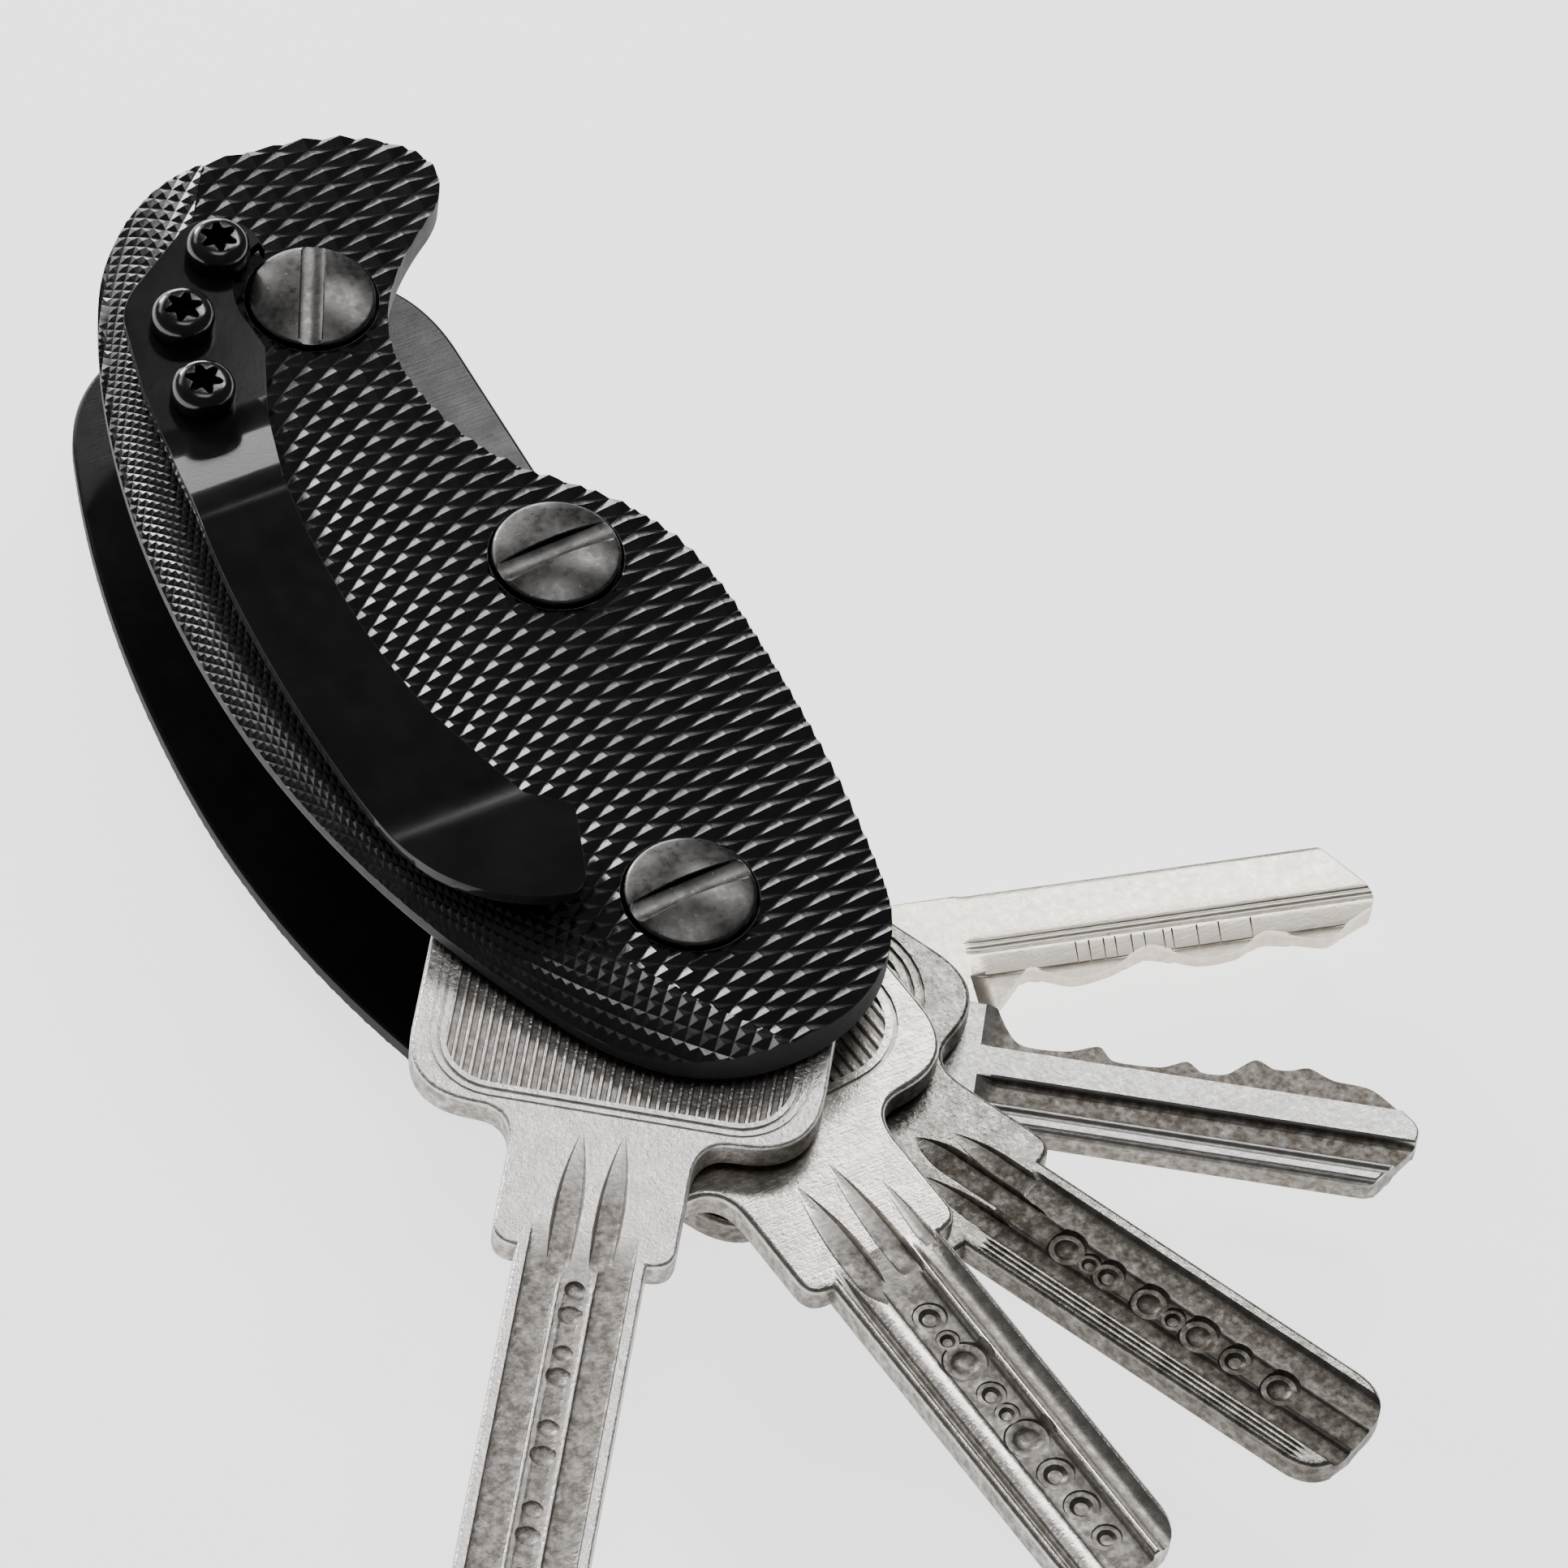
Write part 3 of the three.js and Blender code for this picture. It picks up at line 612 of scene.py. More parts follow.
def outline_groove(grow, box, corner, width, depth):
    """The tool for a thin groove that runs round a rounded rectangle."""
    u0, u1, v0, v1 = box
    g = grow + width
    outer = slab(rounded_rect(u0 - g, u1 + g, v0 - g, v1 + g, corner + g),
                 KEY_THICKNESS - depth, KEY_THICKNESS + OVER)
    inner = slab(rounded_rect(u0 - grow, u1 + grow, v0 - grow, v1 + grow, corner + grow),
                 -OVER, KEY_THICKNESS + 2 * OVER)
    return cut(outer, [inner])


RINGED_DIMPLE = ((0.38, 0.98), (0.56, 0.82), (0.64, 0.74), (0.92, 0.72), (1.0, 0.6))
PLAIN_DIMPLE = ((0.5, 0.95), (0.85, 0.75), (1.0, 0.55))


def dimple(u, v, radius, depth, ringed):
    """The tool for a drilled dimple. A ringed one has a stepped floor and a wide mouth."""
    top = KEY_THICKNESS
    steps = RINGED_DIMPLE if ringed else PLAIN_DIMPLE
    profile = [(0.04, top - depth)] + [(radius * r, top - depth * d) for r, d in steps]
    if ringed:
        profile += [(radius * 1.25, top - 0.1), (radius * 1.4, top + OVER)]
    else:
        profile.append((radius * 1.1, top + OVER))
    return lathe(profile, (u, v), sides=40)


# Key tables are in millimetres from the bore, with u along the blade. panel is (start, end, half
# width, corner). borders are (distance from it, width, depth). bullets are grooves of (start, end,
# offset, half width, depth, run). profile is the blade's section as (offset, depth), and blade is
# where it starts and its run. bed is a groove of (start, offset, half width, depth, run). dimples
# are (u, radius). stripes are the offsets of fine grooves.
DIMPLE_KEYS = [
    dict(
        name="key_front_dimple", body="front_key", slot="key_front",
        angle=-126.5, blade_y=-2.6, tip=54,
        level=14.7, rim=0.28, panel_depth=0.34, pitch=0.64, panel=(-6, 14.9, 11.2, 3.4),
        borders=((0.35, 0.26, 0.18), (0.95, 0.2, 0.12)),
        bullets=((17.2, 29.6, 1.3, 0.92, 0.48, 6.5), (17.4, 30.0, -1.4, 0.95, 0.48, 6.5)),
        bullet_end=3.0,
        profile=((-3.45, 0), (-3.2, 0.42), (-1.4, 0.5), (-1.2, 0.08), (-1.0, 0.08), (-0.85, 0.3),
                 (0.85, 0.3), (1.0, 0.08), (1.2, 0.08), (1.4, 0.5), (3.2, 0.42), (3.45, 0)),
        blade=(24.9, 4.6), bed=(28.4, 0.0, 0.72, 0.42, 1.6),
        dimples=((29.4, 0.66), (31.3, 0.8), (34.2, 0.68), (36.0, 0.8), (39.9, 0.72), (42.0, 0.84),
                 (46, 0.7), (48.0, 0.8), (51, 0.72)),
        ringed=False, dimple_depth=0.6, stripes=(),
    ),
    dict(
        name="key_second_dimple", body="second_key", slot="key_second",
        angle=-83.6, blade_y=-2.6, tip=54,
        level=12.1, rim=0.55, panel_depth=0.34, pitch=0.8, panel=(-6, 13.8, 11.2, 4.6),
        borders=((0.5, 0.34, 0.2),),
        bullets=((18.7, 30.0, 0.95, 0.95, 0.6, 8.0), (19.2, 30.0, -1.8, 1.1, 0.6, 7.0),
                 (21.6, 28.6, 3.15, 0.6, 0.4, 5.5)), bullet_end=2.4,
        profile=((-3.75, 0), (-3.5, 0.4), (-3.25, 0.42), (-3.0, 0.12), (-2.4, 0.05), (-1.75, 0.12),
                 (-1.45, 0.5), (0, 0.58), (1.3, 0.5), (1.6, 0.12), (1.95, 0.04), (2.4, 0.32),
                 (3.1, 0.44), (3.6, 0.2), (3.85, 0)),
        blade=(25.8, 5.0), bed=None,
        dimples=((31.7, 1.15), (33.7, 0.8), (35.6, 1.5), (38.5, 1.0), (40.2, 0.85), (42.4, 1.5),
                 (45.5, 1.25), (48.3, 1.2), (51.0, 1.0)),
        ringed=True, dimple_depth=0.92, stripes=(),
    ),
    dict(
        name="key_third_dimple", body="third_key", slot="key_third",
        angle=-65, blade_y=-1.1, tip=55,
        level=9.5, rim=0.45, panel_depth=0.34, pitch=0.8, panel=(-6, 13.4, 11.0, 5.2),
        borders=((0.45, 0.3, 0.22), (1.15, 0.26, 0.2)),
        bullets=((19.5, 31.0, 0.4, 1.1, 0.6, 3.0), (21.5, 30, -1.75, 0.9, 0.6, 5.0),
                 (21.0, 29, 2.2, 0.9, 0.4, 4.0)),
        bullet_end=2.2,
        profile=((-2.75, 0), (-2.5, 0.5), (-1.9, 0.62), (-1.3, 0.5), (-1.0, 0.3), (-0.7, 0.48),
                 (0, 0.55), (0.8, 0.45), (1.1, 0.3), (1.6, 0.36), (2.6, 0.44), (3.1, 0.3),
                 (3.4, 0)),
        blade=(26.8, 1.6), bed=None,
        dimples=((32, 1.25), (33.8, 0.8), (35.3, 1.1), (38.5, 1.25), (40.4, 0.85), (42.4, 1.3),
                 (45.3, 1.1), (48.7, 1.25)),
        ringed=True, dimple_depth=0.85, stripes=(-3.0, -3.38, -3.76),
    ),
]


BOW_BACK, BOW_FRONT, BOW_HALF, BOW_CORNER = -7, 16.6, 13.4, 5
NECK_HALF, NECK_FILLET, NECK_END, NECK_STOP = 5.9, 3, 25.2, 26.9
BLADE_HALF, TIP_ROUND = 4.2, 3.2
STRIPE_ENDS, STRIPE_HALF, STRIPE_DEPTH = (27.6, 53), 0.13, 0.2


def dimple_outline(key):
    """A wide rounded bow, a parallel neck with a rounded stop, and a flat blade."""
    side, tip = BOW_HALF - BOW_CORNER, key["tip"]
    back, front, stop = (BOW_BACK, BOW_HALF), (BOW_FRONT, BOW_HALF), (NECK_STOP, NECK_HALF)
    upper = [(BOW_BACK, 0)]
    upper += bezier_path((BOW_BACK, side), [(back, (BOW_BACK + BOW_CORNER, BOW_HALF))], 10)
    upper += bezier_path((BOW_FRONT - BOW_CORNER, BOW_HALF), [(front, (BOW_FRONT, side))], 12)
    fillet = ((BOW_FRONT, NECK_HALF), (BOW_FRONT + NECK_FILLET, NECK_HALF))
    upper += bezier_path((BOW_FRONT, side), [fillet], 10)[1:]
    upper += bezier_path((NECK_END, NECK_HALF), [(stop, (NECK_STOP, BLADE_HALF))], 8)
    end = ((tip, BLADE_HALF), (tip, BLADE_HALF - TIP_ROUND))
    upper += bezier_path((tip - TIP_ROUND, BLADE_HALF), [end], 10)
    lower = [(u, -v) for u, v in reversed(upper[1:])]
    return anticlockwise([(u, v + key["blade_y"]) for u, v in upper[1:] + lower])


def dimple_tools(key):
    cy = key["blade_y"]
    u0, u1, half, corner = key["panel"]
    outline = rounded_rect(u0, u1, cy - half, cy + half, corner)
    ribs = (cy - half - 1, cy + half + 1, u0 - 1, u1 + 1)
    tools = [ribbed_panel(outline, *ribs, key["pitch"], key["panel_depth"])]
    for grow, width, depth in key["borders"]:
        tools.append(outline_groove(grow, (u0, u1, cy - half, cy + half), corner, width, depth))
    for start, end, w, wide, depth, run in key["bullets"]:
        tools.append(trough(start, end, cy + w, wide, depth, run, end_run=key["bullet_end"]))
    start, run = key["blade"]
    tools.append(milled(start, key["tip"] + OVER, cy, run, key["profile"]))
    if key["bed"]:
        start, w, wide, depth, run = key["bed"]
        tools.append(trough(start, key["tip"] + OVER, cy + w, wide, depth, run, wall=0.9))
    for u, radius in key["dimples"]:
        tools.append(dimple(u, cy, radius, key["dimple_depth"], key["ringed"]))
    for w in key["stripes"]:
        tools.append(trough(*STRIPE_ENDS, cy + w, STRIPE_HALF, STRIPE_DEPTH, 0.8, end_run=1.0))
    return tools


# side is +1 or -1, the side of the cuts. cuts are (u, height) along the cut edge. nicks are the
# places of thin scratches. profile is the blade's section as (offset towards the cuts, depth).
CUT_KEYS = [
    dict(
        name="key_fourth_cut", body="fourth_key", slot="key_fourth",
        angle=-35.6, blade_y=-2.3, tip=49.1, level=6.9,
        side=1, cuts=[
            (22.5, 3), (25.6, 3), (27.7, 3.8), (28.8, 2.8), (31.8, 2.9), (33.5, 3.7), (34.6, 3),
            (36.2, 3.2), (37.9, 4.7), (39.2, 4.2), (40.3, 4.3), (41.5, 4.7), (43.2, 4), (45.8, 3.7),
        ], nicks=(),
        profile=((-5, 0.5), (-3.9, 0.34), (-3.6, 0.02), (-3.1, 0.02), (-2.95, 0.22), (-2.7, 0.25),
                 (-2.5, 0.08), (-2.3, 0.1), (-2.05, 0.55), (-0.4, 0.6), (-0.1, 0.0), (2.05, 0),
                 (2.25, 0.5), (6.5, 0.62)),
    ),
    dict(
        name="key_rear_cut", body="rear_key", slot="key_rear",
        angle=-14.9, blade_y=2.5, tip=48.3, level=4.3,
        side=-1, cuts=[
            (22.6, 3.6), (24.2, 2.3), (26.9, 3.4), (29.7, 3), (32.4, 1.9), (35.5, 3.2), (38.2, 3.1),
            (40.5, 2.1), (44.3, 3.2), (46.2, 2.2),
        ], nicks=(27.6, 28.5, 29.5, 30.3, 31.4, 32.3, 33.6, 34.2, 35.9, 37.4, 39.6),
        profile=((-5, 0.5), (-3.95, 0.3), (-3.7, 0.02), (-0.45, 0.02), (-0.15, 0.14), (0.15, 0.1),
                 (0.4, 0.2), (0.75, 0.1), (1.1, 0.1), (2.4, 0.28), (2.7, 0.55), (6.5, 0.7)),
    ),
]
CUT_BOW_CENTRE, CUT_BOW_RADIUS = (4.5, 0), 10.5
CUT_STOP_HALF, CUT_STOP_END, CUT_BACK_HALF = 5.5, 20.8, 4.1
CUT_MILLING_START, CUT_MILLING_RUN = 20.0, 1.6
CUT_KEY_RIM = 0.2
NICK_DEPTH = 0.42


def smooth_through(points, steps=6):
    """A smooth line through the points, which stays close to its corners."""
    slack = 0.4
    last = len(points) - 1
    result = []
    for i in range(last):
        p = [np.array(points[min(max(i + k, 0), last)], float) for k in (-1, 0, 1, 2)]
        tangent0 = (p[2] - p[0]) * slack
        tangent1 = (p[3] - p[1]) * slack
        for s in range(steps):
            t = s / steps
            point = (
                (2 * t**3 - 3 * t**2 + 1) * p[1] + (t**3 - 2 * t**2 + t) * tangent0
                + (-2 * t**3 + 3 * t**2) * p[2] + (t**3 - t**2) * tangent1
            )
            result.append(tuple(point))
    result.append(points[-1])
    return result


def cut_outline(key):
    """A round bow, a stop on the cut side and a straight blade with smooth cuts."""
    side = key["side"]
    tip = key["tip"]
    neck_turn = math.asin(CUT_STOP_HALF / CUT_BOW_RADIUS)
    back_turn = math.asin(CUT_BACK_HALF / CUT_BOW_RADIUS)
    points = smooth_through([(CUT_STOP_END, CUT_STOP_HALF), *key["cuts"], (tip - 0.4, 1.4)])
    points += bezier_path((tip - 0.1, 0.9), [((tip + 0.05, 0.2), (tip - 0.3, -0.6))], 4)
    heel = ((tip - 2.8, -CUT_BACK_HALF), (tip - 3.4, -CUT_BACK_HALF))
    points += bezier_path((tip - 2.4, -3.7), [heel], 4)
    points += arc(CUT_BOW_CENTRE, CUT_BOW_RADIUS, -back_turn, -2 * math.pi + neck_turn, 60)
    points = [(u, key["blade_y"] + side * v) for u, v in points]
    return anticlockwise(points)


def cut_tools(key):
    """The milling of a cut key: a thinner cut edge, its long grooves and its scratches."""
    side, cy = key["side"], key["blade_y"]
    profile = [(side * w, d) for w, d in key["profile"]]
    tools = [milled(CUT_MILLING_START, key["tip"] + OVER, cy, CUT_MILLING_RUN, profile)]
    for u in key["nicks"]:
        tools.append(nick(u, cy + side * 0.9, cy + side * 2.5))
    return tools


def nick(u, v0, v1):
    """A thin scratch across the blade."""
    low = KEY_THICKNESS - NICK_DEPTH
    low_v, high_v = sorted((v0, v1))
    ring = [(u - 0.02, low), (u + 0.02, low), (u + 0.12, low + OVER), (u - 0.12, low + OVER)]
    return loft([[(x + 0.1 * (v - v0), v, z) for x, z in ring] for v in (high_v, low_v)])


def build_key(key, outline, tools, rim):
    """A blank cut by the tools on both faces, then turned and lifted to its place on the post."""
    body = slab(outline, 0, KEY_THICKNESS, rim, rim, 4)
    bore = lathe([(KEY_BORE_RADIUS, -OVER), (KEY_BORE_RADIUS, KEY_THICKNESS + OVER)], sides=48)
    body = cut(body, tools + [mirrored(tool, KEY_THICKNESS) for tool in tools] + [bore])
    turn = Matrix.Rotation(math.radians(key["angle"]), 4, "Z")
    body.data.transform(Matrix.Translation((0, 0, key["level"])) @ turn)
    return body


# ---- materials ----

def noise(tree, vector, scale, detail=4.0, roughness=0.55):
    """A noise value over the surface."""
    node = tree.nodes.new("ShaderNodeTexNoise")
    node.inputs["Scale"].default_value = scale
    node.inputs["Detail"].default_value = detail
    node.inputs["Roughness"].default_value = roughness
    tree.links.new(vector, node.inputs["Vector"])
    return node.outputs["Fac"]


def spread(tree, value, low, high, to_low, to_high):
    """A value stretched from one range to another and held there."""
    node = tree.nodes.new("ShaderNodeMapRange")
    limits = {"From Min": low, "From Max": high, "To Min": to_low, "To Max": to_high}
    for name, number in limits.items():
        node.inputs[name].default_value = number
    tree.links.new(value, node.inputs["Value"])
    return node.outputs["Result"]


def mixed(tree, factor, first, second):
    """A colour between two, each a colour or a socket."""
    node = tree.nodes.new("ShaderNodeMix")
    node.data_type = "RGBA"
    tree.links.new(factor, node.inputs[0])
    for index, colour in ((6, first), (7, second)):
        if isinstance(colour, tuple):
            node.inputs[index].default_value = (*colour, 1)
        else:
            tree.links.new(colour, node.inputs[index])
    return node.outputs[2]


def mixed_value(tree, factor, first, second):
    """A value between two sockets."""
    node = tree.nodes.new("ShaderNodeMix")
    node.data_type = "FLOAT"
    node.inputs[0].default_value = factor
    tree.links.new(first, node.inputs[2])
    tree.links.new(second, node.inputs[3])
    return node.outputs[0]


def product(tree, first, second, operation="MULTIPLY"):
    """Two values joined by a clamped operation."""
    node = tree.nodes.new("ShaderNodeMath")
    node.operation = operation
    node.use_clamp = True
    for socket, value in zip(node.inputs, (first, second)):
        if isinstance(value, (int, float)):
            socket.default_value = value
        else:
            tree.links.new(value, socket)
    return node.outputs[0]


STREAK_SCALE = 6000
STREAK_STRETCH = 0.04
GRIME_AND_SHADE_SCALE = 1500
SPECK_SCALE = 2600


def surface(name, metallic, light, dark, patch_scale, rough, grain_scale, grain, streak=None,
            grime_and_shade=None, specular=0.5, wall=None, speck=None):
    """A procedural finish.

    light and dark are two colours that change in patches. rough is the roughness range, and grain
    the depth of fine bumps in metres. streak is (angle, strength) of brushed lines.
    grime_and_shade is (colour, top, depth, strength): painted shade mixed with grime, a darker
    colour over everything that lies below the top face. wall is the roughness that upright sides
    gain. speck is (colour, level) of small worn flecks, which are rarer at a higher level.
    """
    material = bpy.data.materials.new(name)
    material.use_nodes = True
    tree = material.node_tree
    shader = tree.nodes["Principled BSDF"]
    shader.inputs["Metallic"].default_value = metallic
    shader.inputs["Specular IOR Level"].default_value = specular
    coordinates = tree.nodes.new("ShaderNodeTexCoord")
    place = coordinates.outputs["Object"]
    patches = spread(tree, noise(tree, place, patch_scale, 6), 0.35, 0.65, 0, 1)
    colour = mixed(tree, patches, dark, light)
    fine = noise(tree, place, grain_scale, 3, 0.6)
    height = fine
    roughness = spread(tree, noise(tree, place, patch_scale * 3, 5), 0.3, 0.7, rough[0], rough[1])
    if streak:
        angle, strength = streak
        mapping = tree.nodes.new("ShaderNodeMapping")
        mapping.inputs["Rotation"].default_value = (0, 0, math.radians(-angle))
        mapping.inputs["Scale"].default_value = (STREAK_STRETCH, 1, 1)
        tree.links.new(place, mapping.inputs["Vector"])
        lines = noise(tree, mapping.outputs["Vector"], STREAK_SCALE, 2, 0.7)
        height = mixed_value(tree, strength, fine, lines)
    # Painted shade mixed with grime: a darker colour, in patches, over everything lying below the
    # top face, which is also made rougher there.
    if grime_and_shade:
        shade, top, depth, strength = grime_and_shade
        apart = tree.nodes.new("ShaderNodeSeparateXYZ")
        tree.links.new(place, apart.inputs[0])
        sunk = spread(tree, apart.outputs["Z"], (top - depth) * MM, (top - 0.04) * MM, 1, 0)
        patchy = spread(tree, noise(tree, place, GRIME_AND_SHADE_SCALE, 6, 0.65), 0.3, 0.6, 0.5, 1)
        amount = product(tree, product(tree, sunk, patchy), strength)
        colour = mixed(tree, amount, colour, shade)
        roughness = product(tree, roughness, spread(tree, amount, 0, 1, 0, 0.25), "ADD")
    if wall:
        facing = tree.nodes.new("ShaderNodeSeparateXYZ")
        tree.links.new(coordinates.outputs["Normal"], facing.inputs[0])
        upright = product(tree, facing.outputs["Z"], facing.outputs["Z"])
        roughness = product(tree, roughness, spread(tree, upright, 0.02, 0.2, wall, 0), "ADD")
    if speck:
        shade, level = speck
        flecks = spread(tree, noise(tree, place, SPECK_SCALE, 5, 0.7), level, level + 0.06, 0, 1)
        colour = mixed(tree, flecks, colour, shade)
    bump = tree.nodes.new("ShaderNodeBump")
    bump.inputs["Strength"].default_value = 1.0
    bump.inputs["Distance"].default_value = grain
    tree.links.new(height, bump.inputs["Height"])
    tree.links.new(colour, shader.inputs["Base Color"])
    tree.links.new(roughness, shader.inputs["Roughness"])
    tree.links.new(bump.outputs["Normal"], shader.inputs["Normal"])
    return material


ANODISED = surface(
    "anodised_black", 0.0, (0.012, 0.012, 0.013), (0.006, 0.006, 0.007), 260, (0.18, 0.28), 5200,
    6e-6, specular=0.6, wall=0.5,
)
SATIN = surface(
    "anodised_satin", 0.0, (0.007, 0.007, 0.007), (0.004, 0.004, 0.004), 180, (0.16, 0.22), 4200,
    7e-6,
    streak=(80, 0.7), specular=0.3, wall=0.5,
)
CLIP_BLACK = surface(
    "clip_black", 0.0, (0.012, 0.012, 0.012), (0.008, 0.008, 0.008), 220, (0.12, 0.16), 3800, 2e-6,
    specular=0.13, speck=((0.09, 0.09, 0.09), 0.74),
)
GLOSS_BLACK = surface(
    "screw_black", 0.0, (0.010, 0.010, 0.010), (0.005, 0.005, 0.005), 900, (0.12, 0.22), 4200,
    5e-6, specular=0.7,
)
GUNMETAL = surface(
    "gunmetal", 1.0, (0.12, 0.117, 0.114), (0.065, 0.063, 0.061), 700, (0.24, 0.38), 5200, 7e-6,
    streak=(20, 0.4), speck=((0.3, 0.29, 0.28), 0.66),
)
STEEL = surface(
    "bright_steel", 1.0, (0.55, 0.54, 0.52), (0.4, 0.39, 0.38), 500, (0.2, 0.34), 4800, 4e-6,
    streak=(10, 0.5),
)
# The last tuple of each key paints shade mixed with grime onto everything below the key's top face.
KEY_FINISHES = {
    "key_front_dimple": surface(
        "key_sandblasted", 1.0, (0.88, 0.835, 0.805), (0.72, 0.68, 0.65), 900, (0.26, 0.4), 3400,
        7e-5, grime_and_shade=((0.17, 0.15, 0.13), 16.9, 0.4, 0.92),
    ),
    "key_second_dimple": surface(
        "key_nickel", 1.0, (0.76, 0.72, 0.675), (0.54, 0.505, 0.465), 600, (0.18, 0.3), 3600, 3e-5,
        streak=(-83.6, 0.45), grime_and_shade=((0.1, 0.09, 0.078), 14.3, 0.5, 0.92),
    ),
    "key_third_dimple": surface(
        "key_grimy", 1.0, (0.4, 0.38, 0.35), (0.2, 0.19, 0.172), 900, (0.2, 0.36), 2800, 5.5e-5,
        streak=(-65, 0.3), grime_and_shade=((0.06, 0.05, 0.04), 11.7, 0.4, 0.95),
    ),
    "key_fourth_cut": surface(
        "key_dull", 1.0, (0.56, 0.55, 0.53), (0.44, 0.43, 0.41), 800, (0.26, 0.4), 3200, 4e-5,
        streak=(-35.6, 0.4), grime_and_shade=((0.12, 0.1, 0.08), 9.1, 0.45, 0.95),
    ),
    "key_rear_cut": surface(
        "key_warm", 1.0, (0.78, 0.72, 0.63), (0.72, 0.66, 0.575), 600, (0.26, 0.34), 3800, 2e-5,
        streak=(-14.9, 0.45), grime_and_shade=((0.34, 0.27, 0.2), 6.5, 0.8, 0.6),
    ),
}


# ---- build the pieces ----

FACET_ANGLE = 12.0
BUTTON_TURNS = (12, -8, 24)

front = plate(FRONT_OUTLINE, PLATE_THICKNESS + OVER, 0)
front.data.transform(Matrix.Translation((0, 0, FRONT_INNER_Z)))
piece(front, "front_plate_cut", "frame", ANODISED, ["front_plate"], FACET_ANGLE)

back = plate(BACK_OUTLINE, PLATE_THICKNESS, BACK_EDGE)
back.data.transform(Matrix.Translation((0, 0, BACK_INNER_Z)) @ Matrix.Scale(-1, 4, (0, 0, 1)))
back.data.flip_normals()
piece(back, "back_plate_cut", "frame", SATIN, ["back_plate"], FACET_ANGLE)

for label, at in POSTS.items():
    screw = slotted_screw(at, SLOT_ANGLES[label])
    node = f"{label}_post_screw"
    piece(screw, f"{label}_slotted_screw", "frame", GUNMETAL, [node])
    barrel = post_barrel(at)
    piece(barrel, f"{label}_barrel", "frame", GUNMETAL, [f"{label}_post_barrel"])

for turn, (label, at) in zip(BUTTON_TURNS, CLIP_SCREWS.items()):
    screw = button_screw(at, turn)
    node = f"clip_screw_{label}"
    piece(screw, f"{label}_button_screw", "frame", GLOSS_BLACK, [node])

piece(pocket_clip(), "bent_clip", "frame", CLIP_BLACK, ["pocket_clip"])

for key in DIMPLE_KEYS:
    name = key["name"]
    body = build_key(key, dimple_outline(key), dimple_tools(key), key["rim"])
    piece(body, name + "_blank", key["body"], KEY_FINISHES[name], [name])
for key in CUT_KEYS:
    name = key["name"]
    body = build_key(key, cut_outline(key), cut_tools(key), CUT_KEY_RIM)
    piece(body, name + "_blank", key["body"], KEY_FINISHES[name], [name])

for label in ("middle", "upper"):
    ring = turned_ring(
        POSTS[label], SPACER_RADIUS, RING_BORE_RADIUS, SPACER_BOTTOM_Z, WASHER_TOP_Z, SPACER_BREAK
    )
    piece(ring, f"{label}_tube", "frame", STEEL, [f"{label}_spacer"])
for number in range(WASHER_COUNT):
    high = WASHER_TOP_Z - number * KEY_STEP
    low = high - WASHER_THICKNESS
    ring = turned_ring(POSTS["lower"], WASHER_RADIUS, RING_BORE_RADIUS, low, high, WASHER_BREAK)
    node = f"key_washer_{number + 1}"
    piece(ring, f"washer_{number + 1}", "frame", STEEL, [node])


# ---- floor, light and camera ----

FLOOR_HALF = 3.0
FLOOR_GLOW = 2.0
FLOOR_TONES = ((0.8, 0.8, 0.8), (0.84, 0.84, 0.84))
WORLD_STRENGTH = 0.1
LIGHT_AIM = Vector((0, 0.02, 0.02))
floor = new_object("floor", [
    (-FLOOR_HALF, -FLOOR_HALF, 0), (FLOOR_HALF, -FLOOR_HALF, 0), (FLOOR_HALF, FLOOR_HALF, 0),
    (-FLOOR_HALF, FLOOR_HALF, 0),
], [(0, 1, 2, 3)])
pale = bpy.data.materials.new("pale_floor")
pale.use_nodes = True
shader = pale.node_tree.nodes["Principled BSDF"]
shader.inputs["Roughness"].default_value = 0.9
shader.inputs["Specular IOR Level"].default_value = 0.1
shader.inputs["Emission Strength"].default_value = FLOOR_GLOW
shader.inputs["Emission Color"].default_value = (1, 1, 1, 1)
where = pale.node_tree.nodes.new("ShaderNodeTexCoord").outputs["Object"]
tone = mixed(pale.node_tree, noise(pale.node_tree, where, 30), *FLOOR_TONES)
pale.node_tree.links.new(tone, shader.inputs["Base Color"])
floor.data.materials.append(pale)

world = bpy.data.worlds.new("studio")
world.use_nodes = True
world.node_tree.nodes["Background"].inputs["Color"].default_value = (1, 1, 1, 1)
world.node_tree.nodes["Background"].inputs["Strength"].default_value = WORLD_STRENGTH
bpy.context.scene.world = world


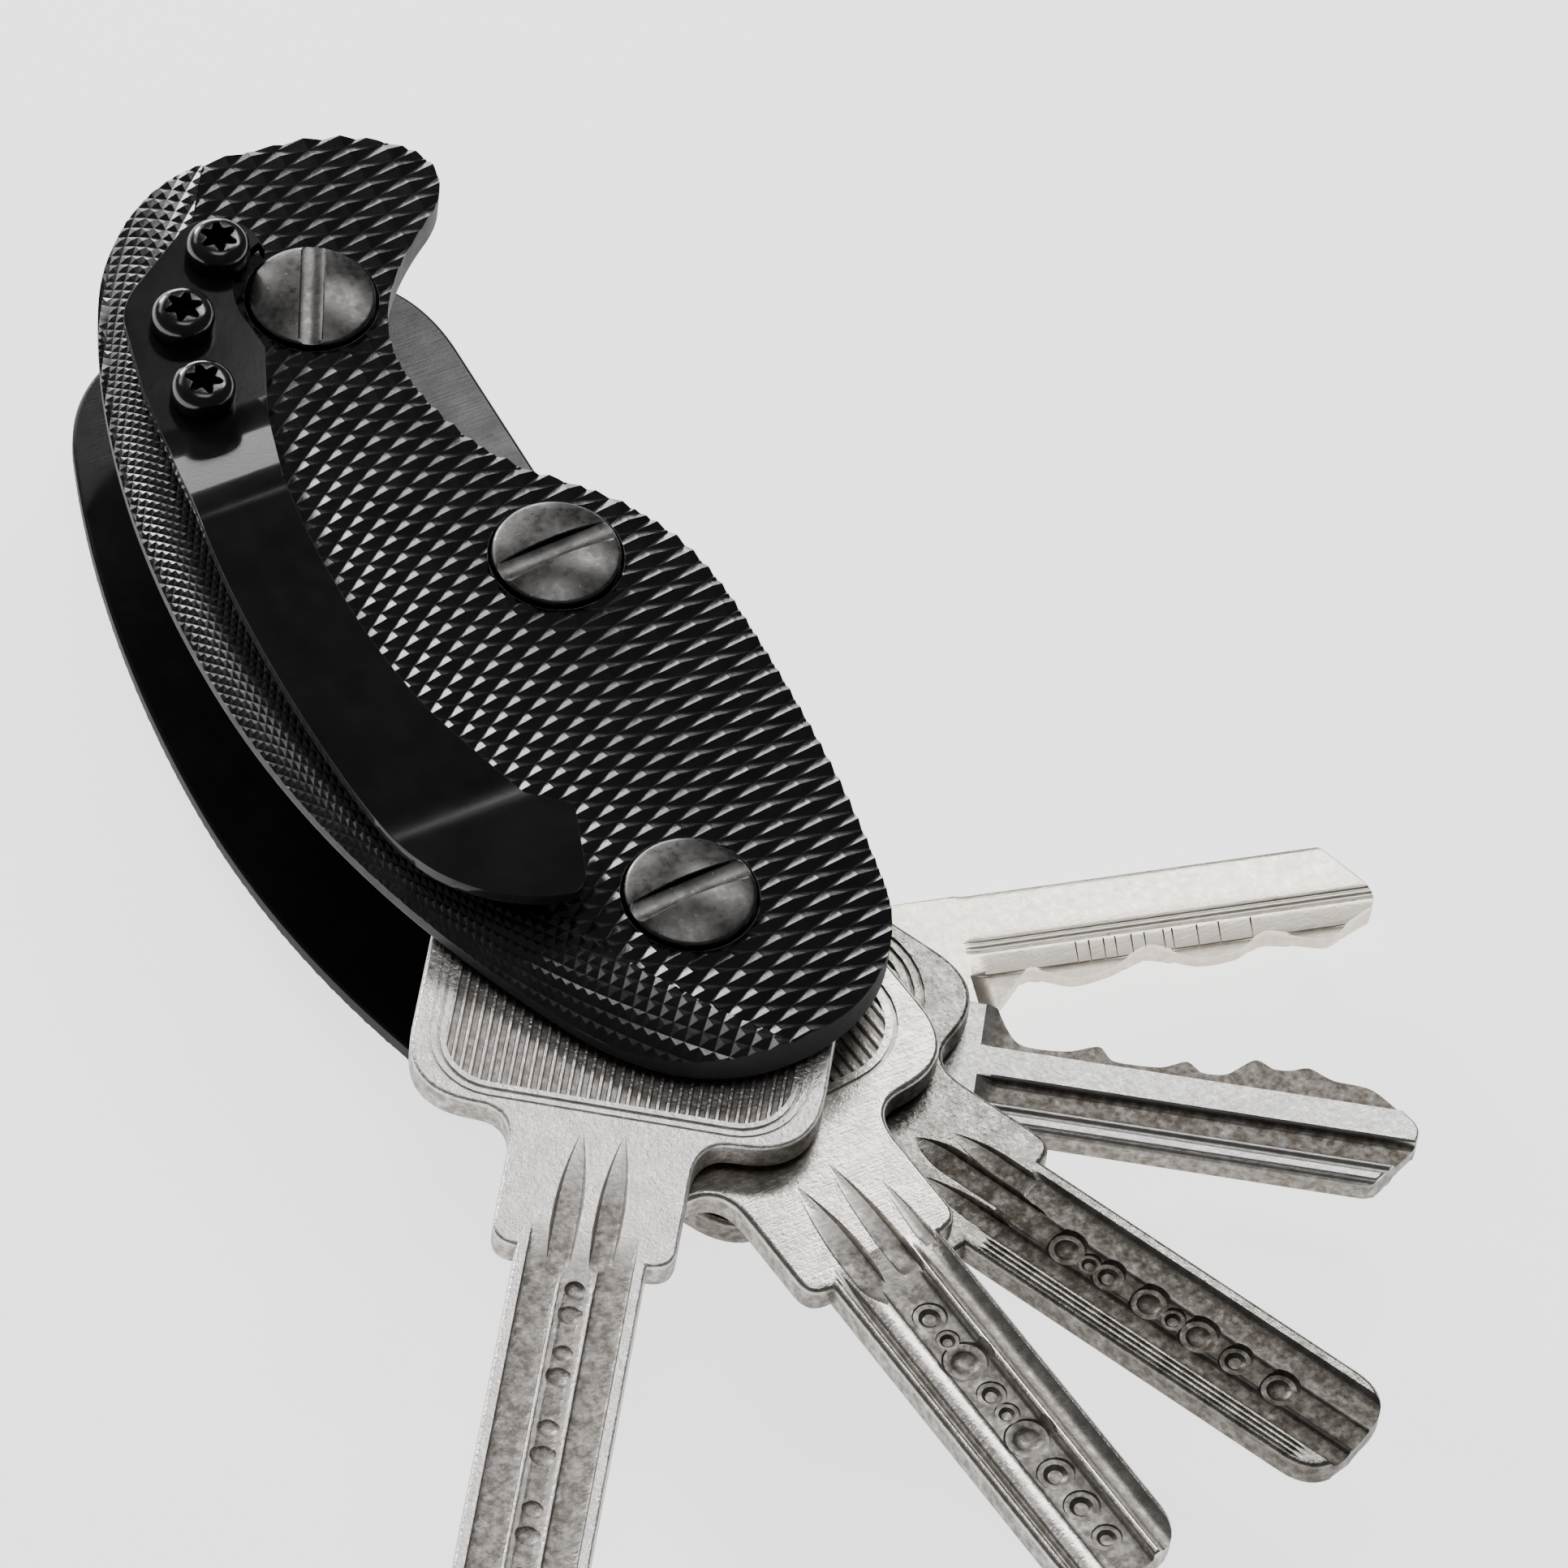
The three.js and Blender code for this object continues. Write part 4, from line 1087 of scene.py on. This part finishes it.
def softbox(name, azimuths, elevations, distance, radiance):
    """A rectangular light that faces the object.

    It spans two azimuths, east of +Y, and two elevations, in degrees.
    """
    azimuth = math.radians(sum(azimuths) / 2)
    elevation = math.radians(sum(elevations) / 2)
    width = 2 * distance * math.tan(math.radians(azimuths[1] - azimuths[0]) / 2)
    height = 2 * distance * math.tan(math.radians(elevations[1] - elevations[0]) / 2)
    data = bpy.data.lights.new(name, "AREA")
    data.shape = "RECTANGLE"
    data.size = width
    data.size_y = height
    data.energy = radiance * math.pi * width * height
    obj = bpy.data.objects.new(name, data)
    bpy.context.scene.collection.objects.link(obj)
    level = math.cos(elevation)
    direction = Vector((math.sin(azimuth) * level, math.cos(azimuth) * level, math.sin(elevation)))
    obj.location = LIGHT_AIM + direction * distance
    obj.rotation_euler = direction.to_track_quat("Z", "Y").to_euler()
    obj.visible_camera = False


softbox("low_back_panel", (-8, 4.5), (10.5, 26), 0.95, 34.0)
softbox("low_side_panel", (9.5, 28), (2, 12.5), 1.0, 19.0)
softbox("high_back_box", (36.4, 63.6), (46.5, 54), 0.9, 13.5)
softbox("shoulder_panel", (-29, 11), (27, 40), 0.97, 3.0)
softbox("overhead_box", (24, 44), (76, 96), 0.9, 3.5)

CAMERA_PLACE = Vector((-216.8, -323.8, 542.7)) * MM
CAMERA_FORWARD = Vector((0.34435, 0.50033, -0.79441))
CAMERA_RIGHT = Vector((0.87841, -0.47035, 0.08453))
FOCAL_LENGTH = 232.9
SENSOR_WIDTH = 36
camera = bpy.data.objects.new("camera", bpy.data.cameras.new("camera"))
bpy.context.scene.collection.objects.link(camera)
camera.data.lens = FOCAL_LENGTH
camera.data.sensor_width = SENSOR_WIDTH
back_axis = -CAMERA_FORWARD.normalized()
right_axis = (CAMERA_RIGHT - CAMERA_RIGHT.dot(back_axis) * back_axis).normalized()
up_axis = back_axis.cross(right_axis)
turn = Matrix((right_axis, up_axis, back_axis)).transposed().to_4x4()
camera.matrix_world = Matrix.Translation(CAMERA_PLACE) @ turn
bpy.context.scene.camera = camera
